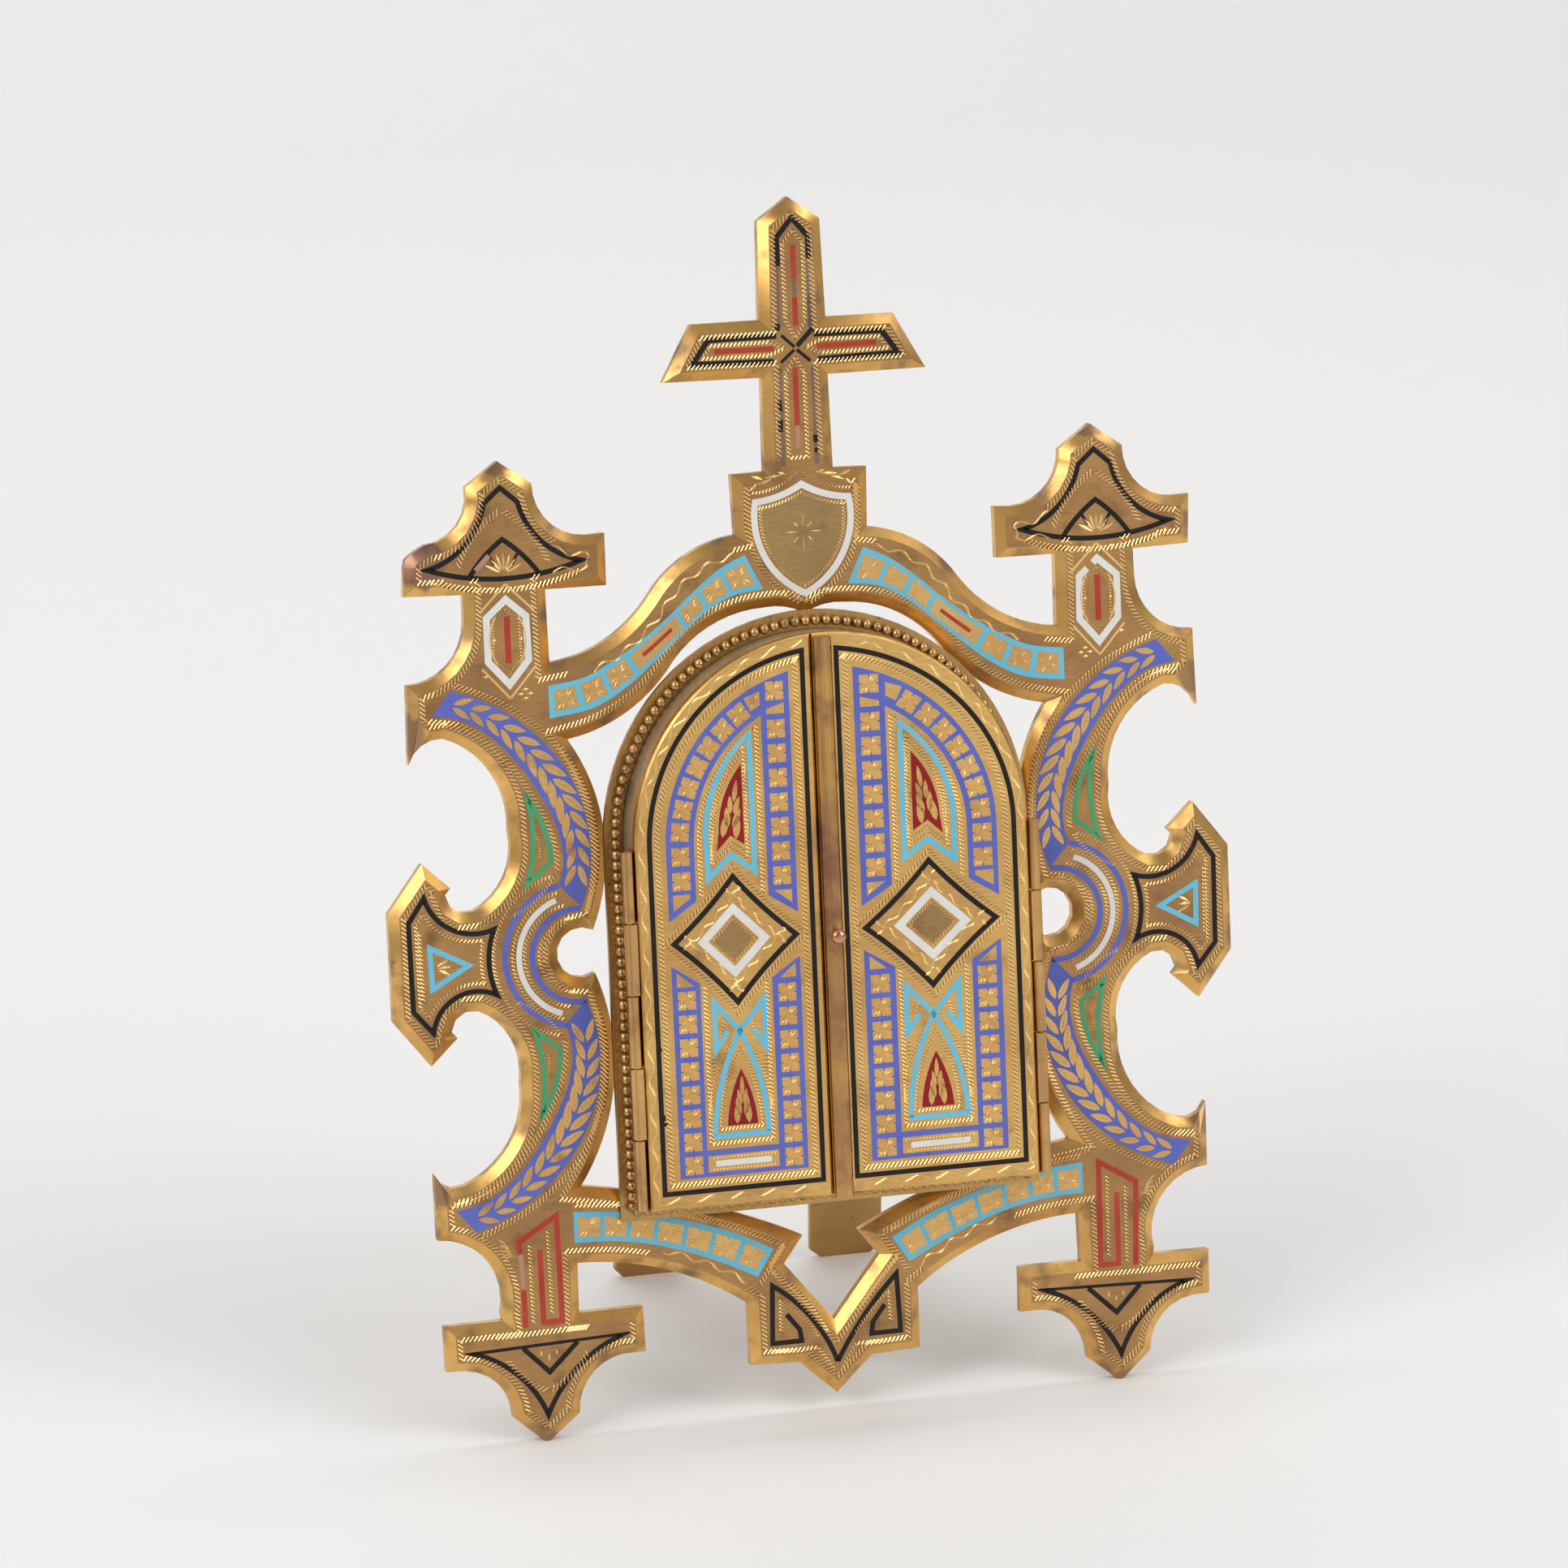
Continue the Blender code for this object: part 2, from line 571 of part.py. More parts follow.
def make_doors(root):
    """Both doors on their hinges; the right one carries the strip and the knob."""
    for side, sign in (("left", -1.0), ("right", 1.0)):
        pivot = Vector((sign * HINGE_X, HINGE_Y, 0.0))
        swing = empty(f"{side}_door_axis", root, pivot)
        ring = door_ring(side == "left")
        mesh = plate_mesh(ring, [], DOOR_THICK, DOOR_BEVEL, DOOR_BEVEL)
        bmesh.ops.translate(mesh, vec=(0.0, DOOR_FRONT, 0.0), verts=mesh.verts[:])
        as_object(f"door_{side}", mesh, gilt(), swing, pivot)
        hinge(side, root, swing, pivot)
    low = CASE_BOTTOM - DOOR_OVERHANG
    high = CASE_SPRING + DOOR_HALF - STRIP_SHORT
    centre = MEETING_X + GAP / 2.0 + STRIP_WIDTH / 2.0
    base = DOOR_FRONT - GAP
    rings = []
    for height in (low, high):
        ring = []
        for step in range(9):
            turn = math.pi * step / 8.0
            ring.append((centre + STRIP_WIDTH / 2.0 * math.cos(turn), base - STRIP_HEIGHT * math.sin(turn),
                         height))
        rings.append(ring)
    as_object("astragal", loft(rings, False, True), gilt(), swing, pivot)
    knob_front = base - STRIP_HEIGHT - GAP
    knob_height = low + KNOB_SHARE * (high - low)
    profile = [(0.55, 0.0), (0.55, 0.3), (0.85, 0.55), (1.0, 1.0), (0.85, 1.5), (0.45, 1.85)]
    rings = []
    for radius, rise in profile:
        ring = []
        for step in range(12):
            turn = math.tau * step / 12
            ring.append((centre + radius * KNOB_RADIUS * math.cos(turn), knob_front - rise * KNOB_NECK * 2.0,
                         knob_height + radius * KNOB_RADIUS * math.sin(turn)))
        rings.append(ring)
    as_object("knob", loft(rings, False, True), gilt(), swing, pivot)


def leg_ring(length):
    """The outline of the leg, hinge axis at the origin: a narrow head, shoulders and two limbs."""
    slope = (LEG_FOOT_OUT - LEG_LIMB) / (length - LEG_SPLIT)
    head = LEG_BARREL / 2.0
    shoulder = LUG_RADIUS + LEG_SHOULDER_CLEAR
    low = -length - 4.0 * LEG_THICK
    inner = LEG_FOOT_OUT - LEG_LIMB
    right = [Vector((head, LEG_HEEL)), Vector((head, -shoulder)),
             Vector((LEG_FOOT_OUT - slope * (length - shoulder), -shoulder)),
             Vector((LEG_FOOT_OUT - slope * LEG_CORNER, -length + LEG_CORNER)),
             Vector((LEG_FOOT_OUT - LEG_CORNER, -length)), Vector((LEG_FOOT_OUT - LEG_CORNER, low)),
             Vector((inner + LEG_CORNER, low)), Vector((inner + LEG_CORNER, -length)),
             Vector((inner - slope * LEG_CORNER, -length + LEG_CORNER))]
    left = [Vector((-p.x, p.y)) for p in right[::-1]]
    return right + [Vector((0.0, -LEG_SPLIT))] + left


def make_leg(root):
    """The forked leg behind, its bracket on the case and the pin between them."""
    axis = Vector((LEG_OFFSET, LEG_AXIS_Y, LEG_HINGE_Z))
    tilt = LEG_SPREAD - LEAN
    drop = LEG_HINGE_Z * math.cos(LEAN) - LEG_AXIS_Y * math.sin(LEAN) - FLOOR_HEIGHT
    length = drop / math.cos(tilt)
    swing = empty("leg_axis", root, axis)
    swing.rotation_euler = (LEG_SPREAD, 0.0, 0.0)
    mesh = plate_mesh(leg_ring(length), [], LEG_THICK, LEG_BEVEL, LEG_BEVEL)
    bmesh.ops.translate(mesh, vec=(0.0, -LEG_THICK / 2.0, 0.0), verts=mesh.verts[:])
    cut_floor(mesh, Vector((0.0, math.sin(tilt), math.cos(tilt))), -drop)
    leg = as_object("leg", mesh, brass(), swing)
    across = Matrix.Rotation(math.pi / 2.0, 4, "Y")
    drill_radius = LEG_PIN_RADIUS + PIN_CLEAR
    for name, radius, half, operation in (
            ("leg_barrel", LEG_BARREL_RADIUS, LEG_BARREL / 2.0, "UNION"),
            ("leg_drill", drill_radius, LEG_BARREL, "DIFFERENCE")):
        tool = cylinder(radius, -half, half, 16)
        bmesh.ops.transform(tool, matrix=across, verts=tool.verts[:])
        combine(leg, as_object(name, tool, brass(), swing), operation)
    stand = empty("bracket_place", root, axis)
    inner = LEG_BARREL / 2.0 + GAP
    outer = inner + LUG_WIDTH
    base = block((-outer, -LEG_AXIS_Y, -BASE_HEIGHT / 2.0),
                 (outer, BASE_BACK - LEG_AXIS_Y, BASE_HEIGHT / 2.0))
    bracket = as_object("leg_bracket", base, brass(), stand)
    reach = LEG_AXIS_Y - BASE_BACK / 2.0
    ring = [Vector((reach, -LUG_RADIUS))]
    for step in range(9):
        turn = -math.pi / 2.0 - math.pi * step / 8.0
        ring.append(Vector((LUG_RADIUS * math.cos(turn), LUG_RADIUS * math.sin(turn))))
    ring.append(Vector((reach, LUG_RADIUS)))
    for name, low in (("lug_left", -outer), ("lug_right", inner)):
        lug = prism(ring, [circle(drill_radius, 12)], LUG_WIDTH)
        bmesh.ops.transform(lug, matrix=Matrix.Rotation(-math.pi / 2.0, 4, "Z"), verts=lug.verts[:])
        bmesh.ops.translate(lug, vec=(low, 0.0, 0.0), verts=lug.verts[:])
        combine(bracket, as_object(name, lug, brass(), stand), "UNION")
    pin = cylinder(LEG_PIN_RADIUS, -outer - LEG_PIN_RADIUS, outer + LEG_PIN_RADIUS, 12)
    bmesh.ops.transform(pin, matrix=across, verts=pin.verts[:])
    as_object("leg_pin", pin, brass(), stand)


def clear_scene():
    for old in list(bpy.data.objects):
        bpy.data.objects.remove(old, do_unlink=True)


def stand_on_origin(root):
    """Move the whole piece so that the middle of its footprint is at the origin."""
    bpy.context.view_layer.update()
    corners = [thing.matrix_world @ vert.co for thing in bpy.data.objects
               if thing.type == "MESH" and not thing.hide_render for vert in thing.data.vertices]
    low = Vector([min(corner[axis] for corner in corners) for axis in range(3)])
    high = Vector([max(corner[axis] for corner in corners) for axis in range(3)])
    root.location = Vector((-(low.x + high.x) / 2.0, -(low.y + high.y) / 2.0, -low.z))
    bpy.context.view_layer.update()


def main():
    clear_scene()
    root = empty("icon", None, Vector((0.0, 0.0, 0.0)))
    root.rotation_euler = (-LEAN, 0.0, 0.0)
    make_frame_plate(root)
    make_case(root)
    make_doors(root)
    make_leg(root)
    stand_on_origin(root)


main()
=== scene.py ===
# %% [markdown]
# # A standing icon of gilt bronze with champlevé enamel
# The real object is an openwork plate cut from bronze sheet, engraved, gilt and filled with enamel. A small
# arched case with two doors is soldered into its middle and holds a painted porcelain plaque. Everything here
# is drawn in millimetres on the flat plate and then leant back onto the floor, as the maker drew it.

# %% Load the fixed frame
import json
import math

import bmesh
import bpy
from mathutils import Matrix, Vector


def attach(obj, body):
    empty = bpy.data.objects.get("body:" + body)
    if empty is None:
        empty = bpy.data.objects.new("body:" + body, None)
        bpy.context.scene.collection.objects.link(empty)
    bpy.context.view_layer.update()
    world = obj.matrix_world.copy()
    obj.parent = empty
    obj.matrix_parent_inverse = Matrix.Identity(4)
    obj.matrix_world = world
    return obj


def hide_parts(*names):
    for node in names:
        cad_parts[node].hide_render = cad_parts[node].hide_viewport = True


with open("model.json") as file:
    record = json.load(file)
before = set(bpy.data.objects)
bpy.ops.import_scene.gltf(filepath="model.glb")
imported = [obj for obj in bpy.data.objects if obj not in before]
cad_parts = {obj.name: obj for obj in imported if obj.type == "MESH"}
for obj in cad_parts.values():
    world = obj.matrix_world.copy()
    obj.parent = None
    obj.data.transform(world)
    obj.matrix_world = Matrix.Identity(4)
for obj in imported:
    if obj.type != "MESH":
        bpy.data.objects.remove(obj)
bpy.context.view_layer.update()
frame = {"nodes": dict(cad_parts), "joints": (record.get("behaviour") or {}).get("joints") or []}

# %% [markdown]
# The plate leans back. The hinge axis of the right door runs straight up along the plate, so its direction
# gives the lean, and the point on it gives the place. `TO_WORLD` takes a point of the flat drawing (x to the
# right, y going back into the plate, z up along it, in millimetres) to its place on the leaning object.

# %% Find the plate in the frame
MM = 0.001
HINGE_ON_DRAWING = Vector((47.9, -12.7, 95.45))
hinge = next(joint for joint in frame["joints"] if joint["name"] == "right_door_hinge")
up_the_plate = Vector(hinge["axis"])
LEAN = math.atan2(up_the_plate.y, up_the_plate.z)
lean_back = Matrix.Rotation(-LEAN, 4, "X")
plate_origin = Vector(hinge["pos_m"]) - lean_back @ (HINGE_ON_DRAWING * MM)
TO_WORLD = Matrix.Translation(plate_origin) @ lean_back @ Matrix.Scale(MM, 4)
TO_PLATE = TO_WORLD.inverted()


def on_plate(node):
    """Lowest and highest corner of a node on the flat drawing, in mm."""
    spots = [TO_PLATE @ vert.co for vert in frame["nodes"][node].data.vertices]
    low = Vector([min(spot[axis] for spot in spots) for axis in range(3)])
    high = Vector([max(spot[axis] for spot in spots) for axis in range(3)])
    return low, high


door_low, door_high = on_plate("door_left")
bead_low, bead_high = on_plate("bead_border")
print(f"lean {math.degrees(LEAN):.2f} degrees, doors from {door_low.y:.2f} to {door_high.y:.2f} mm deep")

# %% [markdown]
# All the ornament is line work: straight cuts, bows and free curves. `way` walks through corners, and a third
# number on a corner bows the stretch that follows to the left. `flowing` draws a smooth curve through points.

# %% Lines of the drawing


def pointing(turn):
    """One unit in the direction of an angle."""
    return Vector((math.cos(turn), math.sin(turn)))


def way(corners, closed=False, chord=0.8):
    """Points through corners (u, v) or (u, v, bow), where bow lifts the next stretch to the left."""
    ring = list(corners) + ([corners[0]] if closed else [])
    points = []
    for here, there in zip(ring, ring[1:]):
        start, end = Vector(here[:2]), Vector(there[:2])
        points.append(start)
        bow = here[2] if len(here) > 2 else 0.0
        if bow:
            span = end - start
            half = 2.0 * math.atan2(2.0 * abs(bow), span.length)
            radius = span.length / 2.0 / math.sin(half)
            side = Vector((-span.y, span.x)).normalized() * math.copysign(1.0, bow)
            steps = max(2, round(2.0 * half * abs(radius) / chord))
            for step in range(1, steps):
                turn = half * (2.0 * step / steps - 1.0)
                lift = radius * (math.cos(turn) - math.cos(half))
                points.append((start + end) / 2.0 + span.normalized() * radius * math.sin(turn) + side * lift)
    if not closed:
        points.append(Vector(ring[-1][:2]))
    return points


def flowing(corners, steps=6):
    """A smooth curve through points, which keeps its ends."""
    spots = [Vector(corner) for corner in corners]
    spots = [2.0 * spots[0] - spots[1]] + spots + [2.0 * spots[-1] - spots[-2]]
    points = []
    for before, start, end, after in zip(spots, spots[1:], spots[2:], spots[3:]):
        for step in range(steps):
            share = step / steps
            points.append(0.5 * (2.0 * start + (end - before) * share
                                 + (2.0 * before - 5.0 * start + 4.0 * end - after) * share ** 2
                                 + (3.0 * start - before - 3.0 * end + after) * share ** 3))
    points.append(spots[-2])
    return points


def sweep(centre, radius, first, last, chord=1.2):
    """Points on a round arc between two angles in degrees."""
    steps = max(2, round(abs(math.radians(last - first)) * radius / chord))
    turns = [math.radians(first + (last - first) * step / steps) for step in range(steps + 1)]
    return [Vector(centre) + pointing(turn) * radius for turn in turns]


def beside(points, shift, closed=False):
    """The same line moved to its left by shift, mitred at its corners."""
    moved = []
    for index, here in enumerate(points):
        before = points[index - 1] if index or closed else None
        after = points[(index + 1) % len(points)] if index < len(points) - 1 or closed else None
        first = (here - before if before is not None else after - here).normalized()
        second = (after - here if after is not None else here - before).normalized()
        bend = (first + second).normalized()
        left = Vector((-bend.y, bend.x))
        moved.append(here + left * (shift / max(left.dot(Vector((-first.y, first.x))), 0.25)))
    return moved


def turned(points, side, middle=None):
    """A line drawn for the right, mirrored to a side, or turned over about a height."""
    flipped = points if middle is None else [Vector((p.x, 2.0 * middle - p.y)) for p in points]
    return [Vector((side * p.x, p.y)) for p in flipped]


def paced(points, pitch, closed=False):
    """Evenly spaced places on a line, with the direction at each."""
    ring = points + [points[0]] if closed else points
    reach = [0.0]
    for start, end in zip(ring, ring[1:]):
        reach.append(reach[-1] + (end - start).length)
    count = max(1, round(reach[-1] / pitch))
    places, index = [], 0
    for step in range(count):
        wanted = (step + 0.5) * reach[-1] / count
        while reach[index + 1] < wanted:
            index += 1
        along = ring[index + 1] - ring[index]
        place = ring[index] + along.normalized() * (wanted - reach[index])
        places.append((place, math.atan2(along.y, along.x), wanted))
    return places


def waved(points, lift, period, closed=False):
    """A line that winds gently from side to side of another."""
    spots = paced(points, 0.5, closed)
    moved = []
    for place, turn, reach in spots:
        left = Vector((-math.sin(turn), math.cos(turn)))
        moved.append(place + left * lift * math.sin(math.tau * reach / period))
    return moved


def away_from(points, ring, distance):
    """The points of a moved line that stay as far as they should from the ring it came from."""
    kept = []
    for point in points:
        nearest = min((point - spot).length for spot, _, _ in ring)
        if nearest > distance:
            kept.append(point)
    return kept


# %% [markdown]
# Four tools do all the cutting. `stroke` is a flat line of enamel with mitred corners, `slab` a filled field,
# `stamp` presses a small ridge or leaf into the gold, and `rope` sets ridges aslant in a row, which is the
# bright wriggled line that a graver leaves. Each starts from a few vertices and is extruded.

# %% Cutting tools
SUNK = 0.25
ENAMEL_TOP = -0.05
CELL_TOP = -0.09
RIDGE_FOOT = 0.03
RIDGE_TOP = 0.13
SHADE_TOP = 0.015
BED_TOP = -0.02


def corners_of(grown):
    """The new vertices of an extrusion."""
    return [item for item in grown if isinstance(item, bmesh.types.BMVert)]


def raise_faces(mesh, faces, top):
    """Extrude flat faces up to a height above the metal, which is towards minus y."""
    grown = bmesh.ops.extrude_face_region(mesh, geom=faces)["geom"]
    for vert in corners_of(grown):
        vert.co.y = top


def stroke(mesh, points, width, top=ENAMEL_TOP, closed=False):
    """A flat line of a width, from under the surface up to top."""
    lower, upper = beside(points, -width / 2.0, closed), beside(points, width / 2.0, closed)
    verts = [mesh.verts.new((p.x, SUNK, p.y)) for p in lower]
    pairs = list(zip(verts, verts[1:])) + ([(verts[-1], verts[0])] if closed else [])
    edges = [mesh.edges.new(pair) for pair in pairs]
    known = set(verts)
    grown = bmesh.ops.extrude_edge_only(mesh, edges=edges)["geom"]
    for vert, place in zip(verts, upper):
        other = next(e.other_vert(vert) for e in vert.link_edges if e.other_vert(vert) not in known)
        other.co = (place.x, SUNK, place.y)
    raise_faces(mesh, [item for item in grown if isinstance(item, bmesh.types.BMFace)], top)


def slab(mesh, points, top=ENAMEL_TOP):
    """A filled flat field."""
    verts = [mesh.verts.new((p[0], SUNK, p[1])) for p in points]
    raise_faces(mesh, [mesh.faces.new(verts)], top)


def ridge_mark():
    """A hip roof one unit long and wide."""
    mesh = bmesh.new()
    bmesh.ops.create_grid(mesh, x_segments=1, y_segments=1, size=0.5)
    bmesh.ops.rotate(mesh, matrix=Matrix.Rotation(math.pi / 2.0, 3, "X"), verts=mesh.verts[:])
    grown = bmesh.ops.extrude_face_region(mesh, geom=mesh.faces[:])["geom"]
    top = corners_of(grown)
    for vert in top:
        vert.co = (vert.co.x * 0.6, -1.0, 0.0)
    bmesh.ops.remove_doubles(mesh, verts=mesh.verts[:], dist=1e-4)
    return finished_mark("ridge_mark", mesh)


def leaf_mark():
    """A pointed leaf one unit long and wide, with a sharp rib."""
    mesh = bmesh.new()
    bmesh.ops.create_circle(mesh, cap_ends=True, segments=8, radius=0.5)
    for vert in mesh.verts:
        half = 0.5 * (1.0 - (2.0 * vert.co.x) ** 2)
        vert.co = (vert.co.x, 0.0, math.copysign(half, vert.co.y) if half > 1e-3 else 0.0)
    grown = bmesh.ops.extrude_face_region(mesh, geom=mesh.faces[:])["geom"]
    for vert in corners_of(grown):
        vert.co = (vert.co.x * 0.7, -1.0, 0.0)
    bmesh.ops.remove_doubles(mesh, verts=mesh.verts[:], dist=1e-4)
    return finished_mark("leaf_mark", mesh)


def finished(name, mesh, *finishes):
    """Mesh data with its materials, made from an edited mesh, which is then freed."""
    data = bpy.data.meshes.new(name)
    mesh.to_mesh(data)
    mesh.free()
    for finish in finishes:
        data.materials.append(finish)
    return data


def finished_mark(name, mesh):
    """A mark with its faces looking out."""
    bmesh.ops.recalc_face_normals(mesh, faces=mesh.faces[:])
    return finished(name, mesh)


def smoothed(mesh):
    """Shade every face smooth."""
    for face in mesh.faces:
        face.smooth = True


RIDGE, LEAF = ridge_mark(), leaf_mark()
SHADOW = RIDGE.copy()
SHADOW.polygons.foreach_set("material_index", [1] * len(SHADOW.polygons))


def stamp(mesh, mark, place, turn, length, width, height=0.12):
    """Press a small mark into the metal, its length turned to an angle."""
    count = len(mesh.verts)
    mesh.from_mesh(mark)
    mesh.verts.ensure_lookup_table()
    size = Matrix.Diagonal((length, height + RIDGE_FOOT, width, 1.0))
    spot = Matrix.Translation((place.x, RIDGE_FOOT, place.y)) @ Matrix.Rotation(-turn, 4, "Y") @ size
    for vert in mesh.verts[count:]:
        vert.co = spot @ vert.co


def rope(mesh, points, closed=False, pitch=1.0, width=1.3, thick=0.42, slant=52.0, keep=None, shaded=True):
    """A row of slanting ridges along a line, of a width across it, with painted shadow marks between them."""
    length = width / math.sin(math.radians(slant))
    for place, turn, _ in paced(points, pitch, closed):
        if keep is None or keep(place):
            stamp(mesh, RIDGE, place, turn + math.radians(slant), length, thick, RIDGE_TOP)
            if shaded:
                onward = pointing(turn) * pitch / 2.0
                # The flat dark mark half a pitch on is painted shadow between the ridges.
                stamp(mesh, SHADOW, place + onward, turn + math.radians(slant), length, thick, SHADE_TOP)


def wriggle(mesh, points, closed=False, lift=0.8, period=8.5, keep=None):
    """A fine winding line of small ridges."""
    rope(mesh, waved(points, lift, period, closed), closed, 0.55, 0.36, 0.42, 26.0, keep, False)


def flat_leaf(mesh, foot, angle, length, width, top=CELL_TOP):
    """A leaf of gold left standing in the enamel, from its foot to its tip."""
    ahead = pointing(angle)
    out = Vector((-ahead.y, ahead.x))
    half = [(share, 0.5 * math.sin(math.pi * share ** 0.85) ** 0.8) for share in (0.18, 0.42, 0.66, 0.86)]
    slab(mesh, [foot] + [foot + ahead * length * share + out * width * reach for share, reach in half]
         + [foot + ahead * length]
         + [foot + ahead * length * share - out * width * reach for share, reach in half[::-1]], top)


def cut_leaf(mesh, cuts, foot, angle, length, width):
    """A flat leaf with a few bright cuts across its rib."""
    flat_leaf(mesh, foot, angle, length, width)
    ahead = pointing(angle)
    for share in (0.28, 0.41, 0.54, 0.67, 0.8):
        stamp(cuts, RIDGE, foot + ahead * length * share, angle + math.radians(40.0), width * 0.5, 0.3, 0.2)


# %% [markdown]
# Gilding is never one colour. It clouds, wears through along edges, keeps fine brushing from the polisher and
# gathers brown tarnish. One function mixes these from noise, and each metal of the icon has its own numbers.
# Enamel is ground glass: a clear colour, a smooth surface with a slight swell, and a few pits from firing.

# %% Materials
DRAWING_SCALE = (1.0 / MM,) * 3


def add(material, kind, inputs, **settings):
    """Add a node; a value is set on its socket and a socket is linked to it."""
    node = material.node_tree.nodes.new(kind)
    for key, value in settings.items():
        setattr(node, key, value)
    for key, value in inputs.items():
        if isinstance(value, bpy.types.NodeSocket):
            material.node_tree.links.new(value, node.inputs[key])
        else:
            node.inputs[key].default_value = value
    return node


def new_finish(name):
    """An empty material and its shader."""
    material = bpy.data.materials.new(name)
    material.use_nodes = True
    return material, material.node_tree.nodes["Principled BSDF"]


def link(material, source, shader, socket):
    material.node_tree.links.new(source, shader.inputs[socket])


def drawing_place(material, stretch=(1.0, 1.0, 1.0)):
    """A point of the piece in mm on the drawing, stretched for brushing."""
    place = add(material, "ShaderNodeTexCoord", {}).outputs["Object"]
    shift = TO_PLATE.to_translation()
    flat = add(material, "ShaderNodeMapping",
               {"Vector": place, "Location": shift, "Rotation": (LEAN, 0.0, 0.0),
                "Scale": DRAWING_SCALE}).outputs["Vector"]
    return add(material, "ShaderNodeMapping", {"Vector": flat, "Scale": stretch}).outputs["Vector"]


def cloud(material, place, scale, low, high, detail=4.0):
    """Noise squeezed between two levels."""
    field = add(material, "ShaderNodeTexNoise", {"Vector": place, "Scale": scale, "Detail": detail})
    return add(material, "ShaderNodeMapRange", {"Value": field.outputs["Fac"], "From Min": low,
                                                "From Max": high}).outputs["Result"]


def blended(material, share, first, second):
    """One colour over another by a share."""
    mix = add(material, "ShaderNodeMix", {}, data_type="RGBA")
    for index, value in ((0, share), (6, first), (7, second)):
        if isinstance(value, bpy.types.NodeSocket):
            material.node_tree.links.new(value, mix.inputs[index])
        elif index == 0:
            mix.inputs[index].default_value = value
        else:
            mix.inputs[index].default_value = (*value, 1.0)
    return mix.outputs[2]


def near(material, place, centre, radius, ragged=0.6):
    """One at a point of the drawing, fading out over a ragged edge."""
    reach = add(material, "ShaderNodeVectorMath", {0: place, 1: centre},
                operation="DISTANCE").outputs["Value"]
    wander = add(material, "ShaderNodeTexNoise", {"Vector": place, "Scale": 1.6 / radius, "Detail": 3.0})
    shift = add(material, "ShaderNodeMapRange", {"Value": wander.outputs["Fac"], "To Min": -ragged * radius,
                                                 "To Max": ragged * radius}).outputs["Result"]
    total = add(material, "ShaderNodeMath", {0: reach, 1: shift}, operation="ADD").outputs["Value"]
    return add(material, "ShaderNodeMapRange", {"Value": total, "From Min": 0.75 * radius, "From Max": radius,
                                                "To Min": 1.0, "To Max": 0.0}).outputs["Result"]


def gilding(name, bright, dull, tarnish, stained=0.35, roughness=(0.2, 0.4), brush=(1.0, 1.0, 1.0),
            brushing=0.35, specks=0.0, cloud_size=0.05, blots=(), metal=1.0):
    """Gilt or bare metal: two tones that cloud, brown stains, fine brushing, specks and local blots."""
    material, shader = new_finish(name)
    place = drawing_place(material)
    tones = blended(material, cloud(material, place, cloud_size, 0.35, 0.65), bright, dull)
    stains = cloud(material, place, cloud_size * 2.6, 0.72 - stained * 0.5, 0.86 - stained * 0.3, 6.0)
    colour = blended(material, stains, tones, tarnish)
    streaks = cloud(material, drawing_place(material, brush), 1.0, 0.3, 0.7, 3.0)
    shade = add(material, "ShaderNodeMapRange", {"Value": streaks, "To Min": 1.0 - brushing * 0.45,
                                                 "To Max": 1.0}).outputs["Result"]
    colour = add(material, "ShaderNodeVectorMath", {0: colour, "Scale": shade},
                 operation="SCALE").outputs["Vector"]
    if specks:
        dots = add(material, "ShaderNodeTexVoronoi", {"Vector": place, "Scale": 0.16, "Randomness": 1.0})
        spots = add(material, "ShaderNodeMapRange",
                    {"Value": dots.outputs["Distance"], "From Min": 0.03 * specks,
                     "From Max": 0.08 * specks, "To Min": 1.0, "To Max": 0.0})
        colour = blended(material, spots.outputs["Result"], colour, (0.06, 0.035, 0.015))
    for centre, radius, tint in blots:
        colour = blended(material, near(material, place, centre, radius), colour, tint)
    link(material, colour, shader, "Base Color")
    rough = add(material, "ShaderNodeMapRange", {"Value": stains, "To Min": roughness[0],
                                                 "To Max": roughness[1]}).outputs["Result"]
    link(material, rough, shader, "Roughness")
    shader.inputs["Metallic"].default_value = metal
    bump = add(material, "ShaderNodeBump", {"Height": streaks, "Strength": brushing,
                                            "Distance": 0.00004}).outputs["Normal"]
    link(material, bump, shader, "Normal")
    return material


def enamel(name, colour, deep, roughness=0.16, pits=0.25, shine=0.5):
    """Fired glass ground flush: a colour that drifts a little, a soft swell and a few firing pits."""
    material, shader = new_finish(name)
    place = drawing_place(material)
    body = blended(material, cloud(material, place, 0.12, 0.3, 0.75), colour, deep)
    holes = cloud(material, place, 2.3, 0.74 - 0.06 * pits, 0.78, 2.0)
    link(material, blended(material, holes, body, (0.09, 0.07, 0.06)), shader, "Base Color")
    shader.inputs["Roughness"].default_value = roughness
    shader.inputs["Specular IOR Level"].default_value = shine
    swell = add(material, "ShaderNodeTexNoise", {"Vector": place, "Scale": 0.5, "Detail": 1.0}).outputs["Fac"]
    bump = add(material, "ShaderNodeBump", {"Height": swell, "Strength": 0.25, "Distance": 0.00012})
    link(material, bump.outputs["Normal"], shader, "Normal")
    return material


WORN_CORNER = ((-88.5, 0.0, 202.5), 6.0, (0.33, 0.18, 0.12))
PLATE_GROUND = gilding("matted_gilt_ground", (0.60, 0.335, 0.125), (0.43, 0.235, 0.10), (0.27, 0.145, 0.07),
                       0.36, (0.36, 0.5), (0.25, 0.25, 3.0), 0.5, blots=[WORN_CORNER])
TIP_BROWN = (0.40, 0.235, 0.12)
TARNISHED_TIPS = [((side * x, 0.0, z), reach, TIP_BROWN) for side in (-1.0, 1.0)
                  for x, z, reach in ((70.0, 225.5, 4.6), (94.5, 164.0, 6.5), (102.0, 112.3, 3.6),
                                      (93.5, 61.0, 5.5), (93.8, 201.0, 3.2), (69.3, -0.5, 4.2),
                                      (32.0, 244.0, 3.4))]
